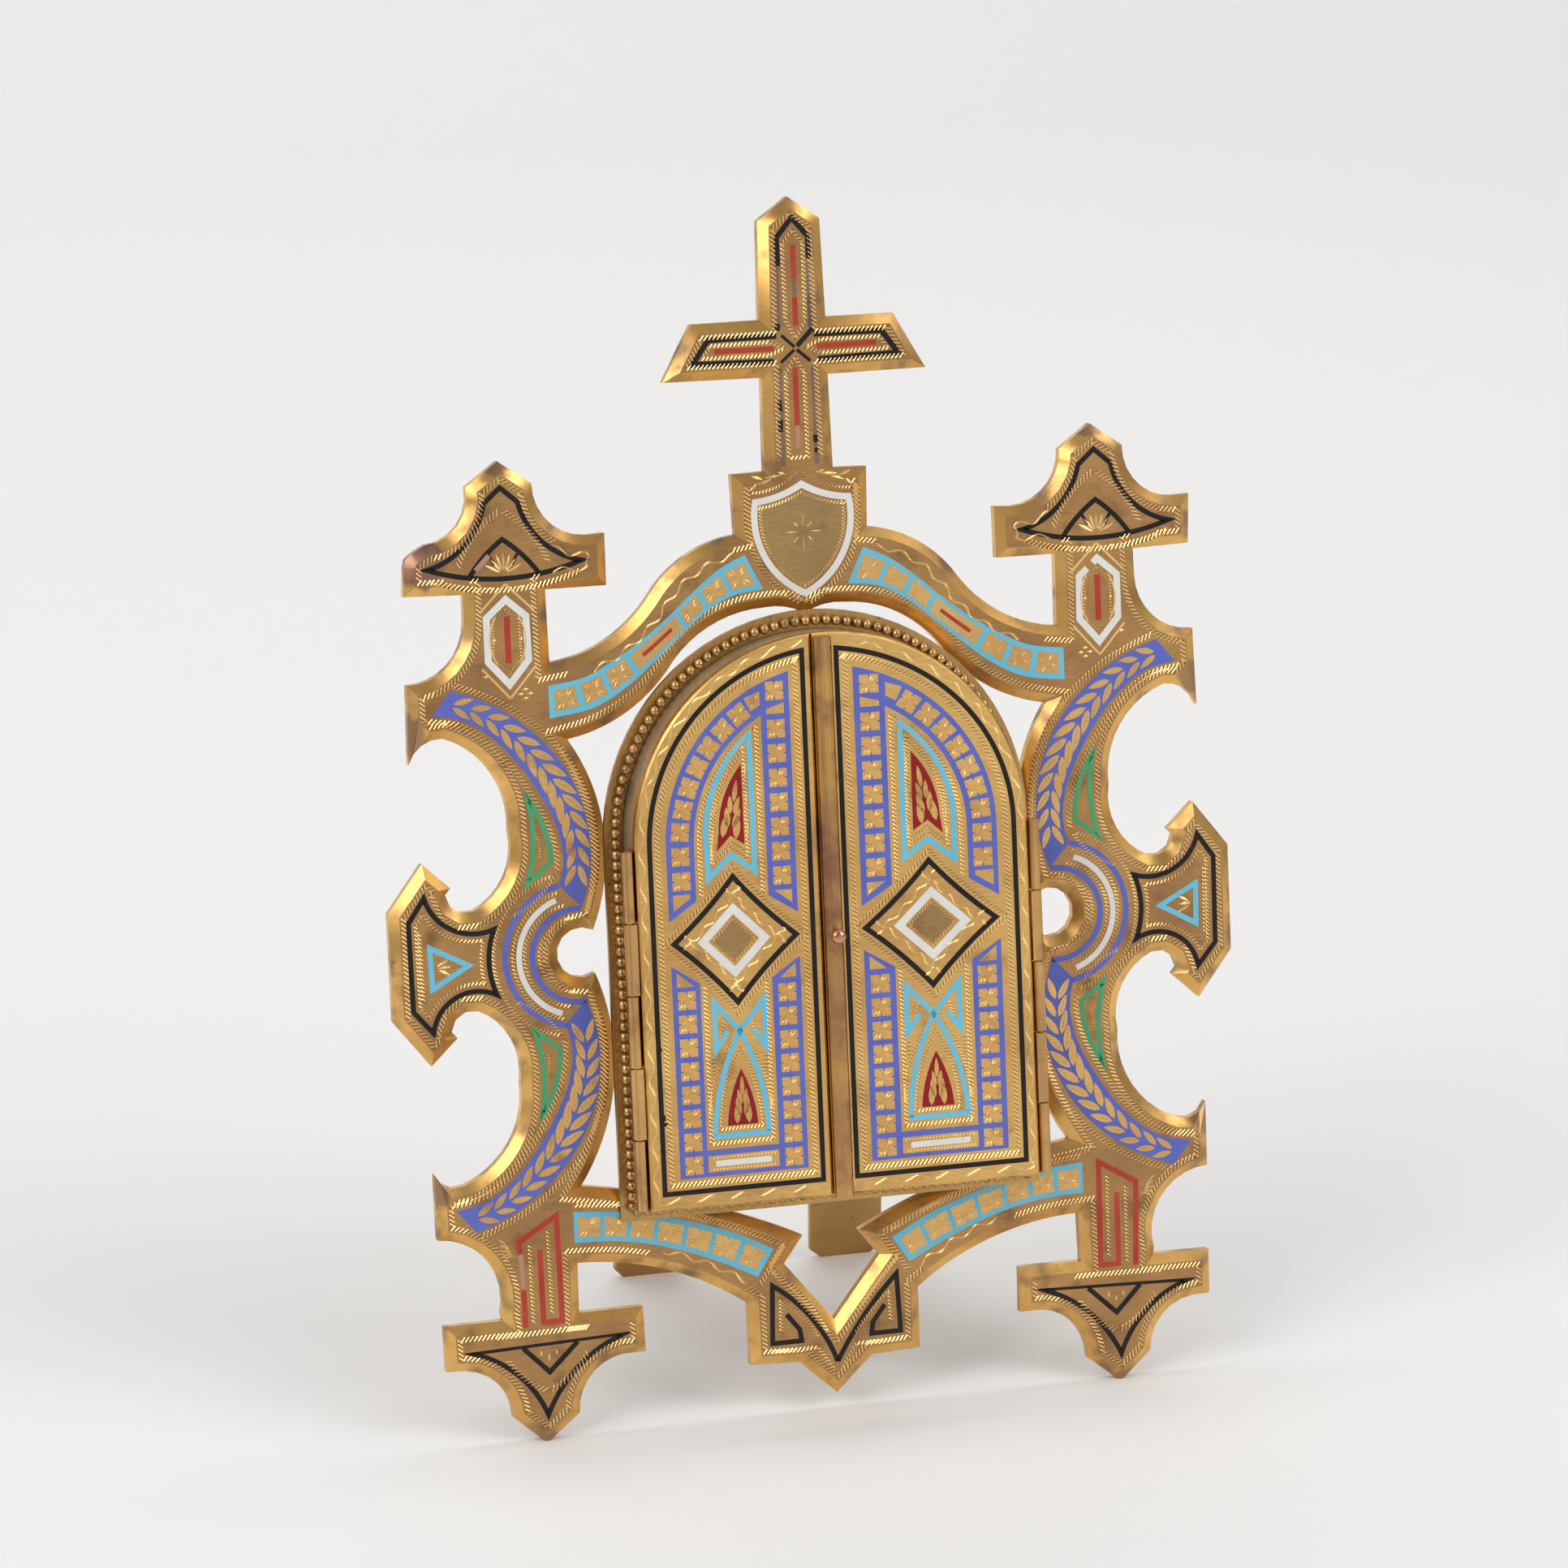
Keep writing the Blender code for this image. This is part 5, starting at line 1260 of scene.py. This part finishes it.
def moulding_mitres():
    """The grey lines of solder where the moulding is joined at its two lower corners."""
    mesh = start("moulding_mitres", GREY_SOLDER, slot="gilt")
    low, high = on_plate("sight_frame")
    for side in (-1.0, 1.0):
        across = Vector((1.0, 0.0, side)) / math.sqrt(2.0)
        outer = Vector((side * (high.x - MITRE_INSET), low.y, low.z + MITRE_INSET))
        inner = Vector((side * (high.x - MITRE_FACE), low.y + MITRE_FALL, low.z + MITRE_FACE))
        corners = [end + across * MITRE_HALF * way_out + Vector((0.0, depth, 0.0))
                   for end in (outer, inner) for way_out in (-1.0, 1.0) for depth in MITRE_DEPTHS]
        bmesh.ops.convex_hull(mesh, input=[mesh.verts.new(corner) for corner in corners])


moulding_mitres()
set_down()

# %% [markdown]
# The picture is painted on porcelain: a bunch of flowers in a bowl on a dark ground, in peach, cream, red,
# green and blue. It is laid on a fine net of points with soft strokes, dark ones first, as a china painter
# builds it up.

# %% Painted porcelain
import numpy as np

plaque_low, plaque_high = on_plate("porcelain_plaque")
NET_ACROSS, NET_UP = 180, 280
CROWN = 1.3
CROWN_REACH = 17.0
PEACH = ((0.48, 0.16, 0.08), (0.95, 0.62, 0.44))
CREAM = ((0.45, 0.30, 0.10), (0.92, 0.84, 0.58))
YELLOW = ((0.42, 0.26, 0.04), (0.86, 0.72, 0.26))
SCARLET = ((0.24, 0.012, 0.012), (0.76, 0.13, 0.11))
SKY = ((0.03, 0.06, 0.16), (0.17, 0.33, 0.62))
LEAF_GREEN = ((0.008, 0.035, 0.012), (0.07, 0.26, 0.09))
PALE_GREEN = ((0.02, 0.07, 0.025), (0.17, 0.38, 0.16))


class Picture:
    """Colours at points of a net, painted over in soft strokes."""

    def __init__(self, across, up):
        self.across, self.up = across, up
        glow = np.exp(-((across + 4.0) ** 2 / 900.0 + (up - 118.0) ** 2 / 1500.0))
        dark, warm = np.array((0.022, 0.014, 0.011)), np.array((0.075, 0.045, 0.030))
        self.colour = dark + (warm - dark) * glow[:, None]

    def cover(self, share, tint):
        """Lay a tint over the picture, as thick as its share at each point."""
        self.colour += (np.asarray(tint) - self.colour) * share[:, None]

    def tinted(self, share, tones, light):
        """Cover with a mix of a dark and a pale tone, by how much light falls there."""
        dark, pale = np.array(tones[0]), np.array(tones[1])
        self.cover(share, dark + (pale - dark) * light[:, None])

    def petal(self, foot, angle, length, width, tones, shade=1.0, rim=0.35):
        """An egg-shaped stroke, dark at its foot and light at its tip, with a lighter rim on one side."""
        ahead = np.array((math.cos(angle), math.sin(angle)))
        east, north = self.across - foot[0], self.up - foot[1]
        reach = (east * ahead[0] + north * ahead[1]) / length
        along = np.clip(reach, 0.0, 1.0)
        aside = (north * ahead[0] - east * ahead[1]) / (width / 2.0)
        belly = np.sqrt(along ** 0.8 * (1.0 - along) ** 0.5) * 1.45 + 1e-3
        inside = np.clip((1.0 - np.abs(aside) / belly) * 3.2, 0.0, 1.0) * (reach < 1.0)
        inside *= np.clip(reach * 9.0, 0.0, 1.0)
        shadow = np.clip((1.16 - np.abs(aside) / belly) * 3.0, 0.0, 1.0) * (reach > 0.0) * (reach < 1.05)
        self.colour *= 1.0 - 0.45 * shadow[:, None]
        lean = np.clip(aside / belly, -1.0, 1.0)
        edge = np.clip(np.maximum(np.abs(lean), along ** 2) * 4.0 - 3.0, 0.0, 1.0) * (along > 0.4)
        light = np.clip(0.04 + 0.62 * along ** 1.3 + rim * lean * 0.6 + 0.34 * edge, 0.0, 1.0) * shade
        self.tinted(inside, tones, light)

    def rose(self, centre, radius, tones, first=0.0):
        """Rings of petals from the outside in."""
        for ring, count in enumerate((6, 5, 5, 4, 3)):
            reach = radius * (1.0 - 0.2 * ring)
            for step in range(count):
                angle = first + 0.85 * ring + math.tau * step / count + 0.16 * math.sin(5.0 * step + ring)
                lit = 0.78 + 0.24 * math.cos(angle - 2.2) + 0.07 * math.sin(2.4 * step + 1.7 * ring)
                foot = (centre[0] - math.cos(angle) * reach * 0.2, centre[1] - math.sin(angle) * reach * 0.2)
                length = reach * (1.2 + 0.08 * math.sin(3.1 * step + ring))
                self.petal(foot, angle, length, reach * 1.5, tones, lit * (0.86 + 0.04 * ring))
        self.petal((centre[0], centre[1] - radius * 0.14), 1.5, radius * 0.28, radius * 0.2, tones, 0.25)

    def daisy(self, centre, radius, tones, heart):
        """Six petals round a small heart."""
        for step in range(6):
            self.petal(centre, 0.4 + math.tau * step / 6, radius, radius * 0.72, tones, 0.95)
        self.petal((centre[0] - radius * 0.22, centre[1]), 0.0, radius * 0.44, radius * 0.4, heart)

    def leaf(self, foot, angle, length, tones):
        """A pointed leaf with one half in light, one in shade, and a pale midrib."""
        ahead = np.array((math.cos(angle), math.sin(angle)))
        east, north = self.across - foot[0], self.up - foot[1]
        along = (east * ahead[0] + north * ahead[1]) / length
        aside = (north * ahead[0] - east * ahead[1]) / (length * 0.21)
        belly = np.sin(math.pi * np.clip(along, 0.0, 1.0) ** 0.8) + 1e-3
        inside = np.clip((1.0 - np.abs(aside) / belly) * 5.0, 0.0, 1.0) * (along > 0.0) * (along < 1.0)
        light = 0.42 + 0.36 * np.tanh(aside * 8.0) + 0.14 * np.sin(along * 34.0 + np.abs(aside) * 7.0)
        light = np.clip(light + 0.55 * np.exp(-(aside * 11.0) ** 2), 0.0, 1.2)
        self.tinted(inside, tones, light)

    def stalk(self, points, width, tint):
        """A thin line through points."""
        for start_at, end_at in zip(points, points[1:]):
            span = np.array(end_at) - np.array(start_at)
            east, north = self.across - start_at[0], self.up - start_at[1]
            share = np.clip((east * span[0] + north * span[1]) / (span @ span), 0.0, 1.0)
            gap = np.hypot(east - share * span[0], north - share * span[1])
            self.cover(np.clip(1.4 - gap / (width / 2.0), 0.0, 1.0), tint)

    def turned_bowl(self, profile, middle, tones):
        """A round vessel given by heights and half-widths, lit from the upper left."""
        heights, halves = zip(*profile)
        half = np.interp(self.up, heights, halves, 0.0, 0.0)
        share = (self.across - middle) / np.maximum(half, 1e-3)
        inside = np.clip((half - np.abs(self.across - middle)) * 1.6, 0.0, 1.0)
        light = np.clip(0.62 - 0.55 * (share + 0.35) ** 2, 0.03, 1.0)
        gleam = np.exp(-((share + 0.45) ** 2 * 60.0))
        self.tinted(inside, tones, np.clip(light + 0.5 * gleam, 0.0, 1.0))

    def cloth(self, tones):
        """A cloth that hangs over the ledge in folds."""
        edge = 79.5 + 2.4 * np.sin(self.across * 0.21 + 0.6) - 0.006 * (self.across - 18.0) ** 2
        inside = np.clip((edge - self.up) * 0.9, 0.0, 1.0) * np.clip((self.across + 3.0) * 0.4, 0.0, 1.0)
        drift = self.across + 0.22 * (self.up - 70.0) + 2.2 * np.sin(self.up * 0.13 + self.across * 0.05)
        fold = 0.5 + 0.28 * np.sin(drift * 0.41) + 0.22 * np.sin(drift * 0.93 + 1.3 + 0.08 * self.up)
        self.tinted(inside, tones, 0.15 + 0.7 * fold ** 1.5)


def paint_flowers(picture):
    """The bunch from the back to the front."""
    ledge = np.clip((75.5 - picture.up) * 0.8, 0.0, 1.0)
    picture.cover(ledge, (0.075, 0.038, 0.022))
    picture.cloth(SKY)
    for bend in (-14.0, -7.0, -1.0, 6.0, 13.0):
        picture.stalk([(-3.0, 94.0), (-2.0 + bend * 0.6, 112.0), (-2.0 + bend * 1.5, 138.0)], 0.9,
                      (0.03, 0.09, 0.03))
    for foot, angle, length in (((-12, 112), 2.75, 22), ((-14, 118), 2.3, 20), ((-12, 104), 3.3, 20),
                                ((-10, 126), 2.0, 19), ((2, 138), 1.75, 18), ((10, 130), 0.9, 20),
                                ((12, 118), 0.35, 20), ((10, 106), -0.1, 19), ((-6, 98), 3.6, 17),
                                ((6, 98), -0.5, 17), ((-4, 140), 2.1, 17), ((8, 140), 1.15, 16)):
        picture.leaf(foot, angle, length, LEAF_GREEN)
    for foot, angle, length in (((-14, 108), 3.0, 15), ((-8, 132), 2.4, 15), ((12, 124), 0.6, 14),
                                ((9, 100), -0.3, 13), ((-2, 144), 1.55, 14)):
        picture.leaf(foot, angle, length, PALE_GREEN)
    picture.turned_bowl([(72.0, 8.5), (73.5, 9.0), (75.0, 5.0), (78.0, 3.4), (81.0, 9.5), (86.0, 15.0),
                         (92.0, 17.0), (96.0, 16.0), (97.5, 17.0), (98.5, 16.6)], -3.0,
                        ((0.10, 0.05, 0.02), (0.72, 0.50, 0.22)))
    for centre, radius, tones, first in (((3.0, 148.0), 8.0, CREAM, 0.3), ((-11.0, 138.0), 8.6, YELLOW, 0.9),
                                         ((14.5, 134.0), 9.0, PEACH, 0.2), ((-2.0, 127.0), 10.5, CREAM, 0.5),
                                         ((-14.0, 118.0), 10.0, PEACH, 1.1),
                                         ((11.0, 113.0), 11.5, SCARLET, 0.6),
                                         ((-5.0, 104.0), 11.0, SCARLET, 0.1),
                                         ((-19.5, 101.5), 6.6, CREAM, 0.1), ((20.5, 99.5), 6.8, PEACH, 0.8)):
        picture.rose(centre, radius, tones, first)
    for centre, radius in (((23.0, 121.0), 4.2), ((25.0, 113.5), 3.4), ((-22.5, 128.5), 3.8),
                           ((-4.5, 155.5), 3.6), ((11.5, 155.0), 3.2), ((4.5, 98.0), 3.6),
                           ((-12.0, 94.0), 3.3)):
        picture.daisy(centre, radius, (SKY[1], (0.45, 0.62, 0.85)), YELLOW)
    for foot, angle in (((-20.0, 77.0), 3.0), ((-17.0, 76.0), -0.2), ((-19.0, 79.0), 2.0)):
        picture.leaf(foot, angle, 10.0, LEAF_GREEN)
    picture.rose((-19.5, 78.5), 6.2, PEACH, 0.5)
    for spot in ((-8.0, 73.5), (-27.0, 74.5), (4.0, 72.6)):
        picture.petal(spot, 0.3, 4.4, 2.8, PEACH, 0.9)


def make_plaque():
    """A domed plate of porcelain, arched at the top, with the painting on its front."""
    half = plaque_high.x
    spring, foot = plaque_high.z - half, plaque_low.z
    straight = (spring - foot) / (spring - foot + half * math.pi / 2.0)
    mesh = bmesh.new()
    bmesh.ops.create_grid(mesh, x_segments=NET_ACROSS, y_segments=NET_UP, size=1.0)
    for vert in mesh.verts:
        share = (vert.co.y + 1.0) / 2.0
        if share <= straight:
            width, height = half, foot + (spring - foot) * share / straight
        else:
            turn = (share - straight) / (1.0 - straight) * math.pi / 2.0 * 0.995
            width, height = half * math.cos(turn), spring + half * math.sin(turn)
        x = vert.co.x * width
        inward = math.hypot(x, height - spring) if height > spring else max(abs(x), half - height + foot)
        rim = half - inward
        rise = CROWN * (1.0 - (1.0 - min(1.0, rim / CROWN_REACH)) ** 2)
        vert.co = (x, plaque_low.y + CROWN - rise, height)
    border = [edge for edge in mesh.edges if edge.is_boundary]
    grown = bmesh.ops.extrude_edge_only(mesh, edges=border)["geom"]
    for vert in corners_of(grown):
        vert.co.y = plaque_high.y
    bmesh.ops.holes_fill(mesh, edges=[edge for edge in mesh.edges if edge.is_boundary])
    bmesh.ops.recalc_face_normals(mesh, faces=mesh.faces[:])
    spots = np.array([vert.co[:] for vert in mesh.verts])
    picture = Picture(spots[:, 0], spots[:, 2])
    paint_flowers(picture)
    bmesh.ops.transform(mesh, matrix=TO_WORLD, verts=mesh.verts[:])
    for face in mesh.faces:
        face.smooth = len(face.verts) < 5
    data = finished("painted_plaque", mesh)
    paint = data.color_attributes.new("painting", "FLOAT_COLOR", "POINT")
    paint.data.foreach_set("color", np.column_stack([picture.colour, np.ones(len(spots))]).ravel())
    data.materials.append(porcelain_finish())
    return keep_piece(bpy.data.objects.new("painted_plaque", data), "frame", "porcelain", "porcelain_plaque")


def porcelain_finish():
    """The painting under a clear glaze with a few specks of dust."""
    material, shader = new_finish("glazed_painting")
    paint = add(material, "ShaderNodeAttribute", {}, attribute_name="painting").outputs["Color"]
    place = drawing_place(material)
    dust = add(material, "ShaderNodeTexVoronoi", {"Vector": place, "Scale": 0.3, "Randomness": 1.0})
    specks = add(material, "ShaderNodeMapRange", {"Value": dust.outputs["Distance"], "From Min": 0.03,
                                                  "From Max": 0.06, "To Min": 0.6, "To Max": 0.0})
    dusted = blended(material, specks.outputs["Result"], paint, (0.42, 0.38, 0.34))
    link(material, dusted, shader, "Base Color")
    shader.inputs["Roughness"].default_value = 0.24
    shader.inputs["Specular IOR Level"].default_value = 0.2
    shader.inputs["Coat Weight"].default_value = 0.22
    shader.inputs["Coat Roughness"].default_value = 0.08
    swell = add(material, "ShaderNodeTexNoise",
                {"Vector": place, "Scale": 0.16, "Detail": 1.0}).outputs["Fac"]
    bump = add(material, "ShaderNodeBump", {"Height": swell, "Strength": 0.2, "Distance": 0.0003})
    link(material, bump.outputs["Normal"], shader, "Normal")
    return material


print("plaque:", len(make_plaque().data.polygons), "faces")

# %% [markdown]
# The beaded wire around the foot of the case is a string of small balls that almost touch. A ball is a sphere
# of only forty-eight faces, shaded smooth, so that the whole string stays light.

# %% Bead border
BEAD_RADIUS = 1.2
BEAD_PITCH = 2.45
bead_half = bead_high.x - BEAD_RADIUS
bead_spring = bead_high.z - BEAD_RADIUS - bead_half
bead_foot = bead_low.z + BEAD_RADIUS
bead_line = (way([(-bead_half, bead_foot), (bead_half, bead_foot)])
             + sweep((0.0, bead_spring), bead_half, 0.0, 180.0))
bead_depth = (bead_low.y + bead_high.y) / 2.0


def round_bead():
    """One ball of the beaded wire, about its own middle."""
    mesh = bmesh.new()
    bmesh.ops.create_uvsphere(mesh, u_segments=8, v_segments=6, radius=BEAD_RADIUS)
    return finished("round_bead", mesh)


def make_beads():
    """The string of balls round the foot of the case."""
    mesh = bmesh.new()
    ball = round_bead()
    for place, _, _ in paced(bead_line, BEAD_PITCH, True):
        count = len(mesh.verts)
        mesh.from_mesh(ball)
        mesh.verts.ensure_lookup_table()
        bmesh.ops.translate(mesh, vec=(place.x, bead_depth, place.y), verts=mesh.verts[count:])
    bmesh.ops.transform(mesh, matrix=TO_WORLD, verts=mesh.verts[:])
    smoothed(mesh)
    data = finished("beaded_wire", mesh, BEAD_GILT)
    return keep_piece(bpy.data.objects.new("beaded_wire", data), "frame", "gilt", "bead_border")


print("beads:", len(make_beads().data.polygons) // 48)

# %% [markdown]
# The knob is turned: a profile spun about its own axis, with a short neck, a ball and a tiny tip.

# %% Knob
knob_low, knob_high = on_plate("knob")
knob_middle = (knob_low + knob_high) / 2.0
KNOB_PROFILE = [(0.0, 0.0), (0.55, 0.02), (0.5, 0.2), (0.62, 0.3), (0.9, 0.42), (1.0, 0.6), (0.92, 0.78),
                (0.66, 0.92), (0.3, 0.985), (0.0, 1.0)]


def make_knob():
    """The turned knob on the meeting strip."""
    mesh = bmesh.new()
    radius = (knob_high.x - knob_low.x) / 2.0
    depth = knob_high.y - knob_low.y
    verts = [mesh.verts.new((knob_middle.x + r * radius, knob_high.y - rise * depth, knob_middle.z))
             for r, rise in KNOB_PROFILE]
    edges = [mesh.edges.new(pair) for pair in zip(verts, verts[1:])]
    bmesh.ops.spin(mesh, geom=verts + edges, cent=(knob_middle.x, 0.0, knob_middle.z), axis=(0.0, 1.0, 0.0),
                   angle=math.tau, steps=32, use_merge=True)
    bmesh.ops.remove_doubles(mesh, verts=mesh.verts[:], dist=0.002)
    bmesh.ops.recalc_face_normals(mesh, faces=mesh.faces[:])
    bmesh.ops.transform(mesh, matrix=TO_WORLD, verts=mesh.verts[:])
    smoothed(mesh)
    data = finished("door_knob", mesh, KNOB_COPPER)
    return keep_piece(bpy.data.objects.new("door_knob", data), "right_door", "gilt", "knob")


make_knob()

# %% [markdown]
# The stage is a pale floor that sweeps up into a pale wall. A soft lamp stands on each side, a weak one low
# in front, and one lights the wall. The camera stands a little left of the middle and above, looking down at
# the closed icon.

# %% Floor, light and camera
CAMERA_AT = Vector((-0.379, -1.305, 0.526))
CAMERA_LENS = 140.0
CAMERA_AIM = Vector((0.0, 0.0, 0.138))


def make_stage():
    """The pale sheet that is floor and wall at once."""
    mesh = bmesh.new()
    profile = [(-4.0, 0.0), (1.6, 0.0), (2.1, 0.08), (2.5, 0.35), (2.75, 0.8), (2.85, 1.5), (2.85, 4.5)]
    verts = [mesh.verts.new((-6.0, y, z)) for y, z in profile]
    edges = [mesh.edges.new(pair) for pair in zip(verts, verts[1:])]
    grown = bmesh.ops.extrude_edge_only(mesh, edges=edges)["geom"]
    moved = corners_of(grown)
    bmesh.ops.translate(mesh, vec=(12.0, 0.0, 0.0), verts=moved)
    bmesh.ops.recalc_face_normals(mesh, faces=mesh.faces[:])
    smoothed(mesh)
    paper, shader = new_finish("pale_paper")
    shader.inputs["Base Color"].default_value = (0.86, 0.855, 0.85, 1.0)
    shader.inputs["Roughness"].default_value = 0.9
    sweep_sheet = bpy.data.objects.new("pale_sweep", finished("pale_sweep", mesh, paper))
    bpy.context.scene.collection.objects.link(sweep_sheet)


def add_lamp(name, place, size, energy, tint, aim):
    """A soft square lamp that looks at a point."""
    data = bpy.data.lights.new(name, "AREA")
    data.shape = "RECTANGLE"
    data.size, data.size_y = size
    data.energy = energy
    data.color = tint
    lamp = bpy.data.objects.new(name, data)
    lamp.location = place
    lamp.rotation_euler = (aim - Vector(place)).to_track_quat("-Z", "Y").to_euler()
    bpy.context.scene.collection.objects.link(lamp)


def make_camera():
    """The camera of the main view."""
    data = bpy.data.cameras.new("camera")
    data.lens = CAMERA_LENS
    camera = bpy.data.objects.new("camera", data)
    camera.location = CAMERA_AT
    camera.rotation_euler = (CAMERA_AIM - CAMERA_AT).to_track_quat("-Z", "Y").to_euler()
    bpy.context.scene.collection.objects.link(camera)
    bpy.context.scene.camera = camera


make_stage()
add_lamp("right_soft_lamp", (1.5, -1.3, 1.5), (1.5, 1.5), 20.0, (1.0, 0.99, 0.97), CAMERA_AIM)
add_lamp("left_soft_lamp", (-1.7, -1.0, 1.6), (1.5, 1.5), 24.0, (1.0, 0.985, 0.965), CAMERA_AIM)
add_lamp("low_front_lamp", (0.75, -2.6, 0.35), (2.2, 1.3), 3.5, (1.0, 0.99, 0.98), CAMERA_AIM)
add_lamp("wall_lamp", (0.0, 0.6, 2.9), (4.0, 1.2), 46.0, (1.0, 1.0, 1.0), Vector((0.0, 2.9, 0.9)))
world = bpy.data.worlds.new("soft_room")
world.use_nodes = True
world.node_tree.nodes["Background"].inputs["Color"].default_value = (0.86, 0.87, 0.88, 1.0)
world.node_tree.nodes["Background"].inputs["Strength"].default_value = 0.40
bpy.context.scene.world = world
bpy.context.scene.view_settings.view_transform = "Standard"
make_camera()
print("pieces:", len(made))
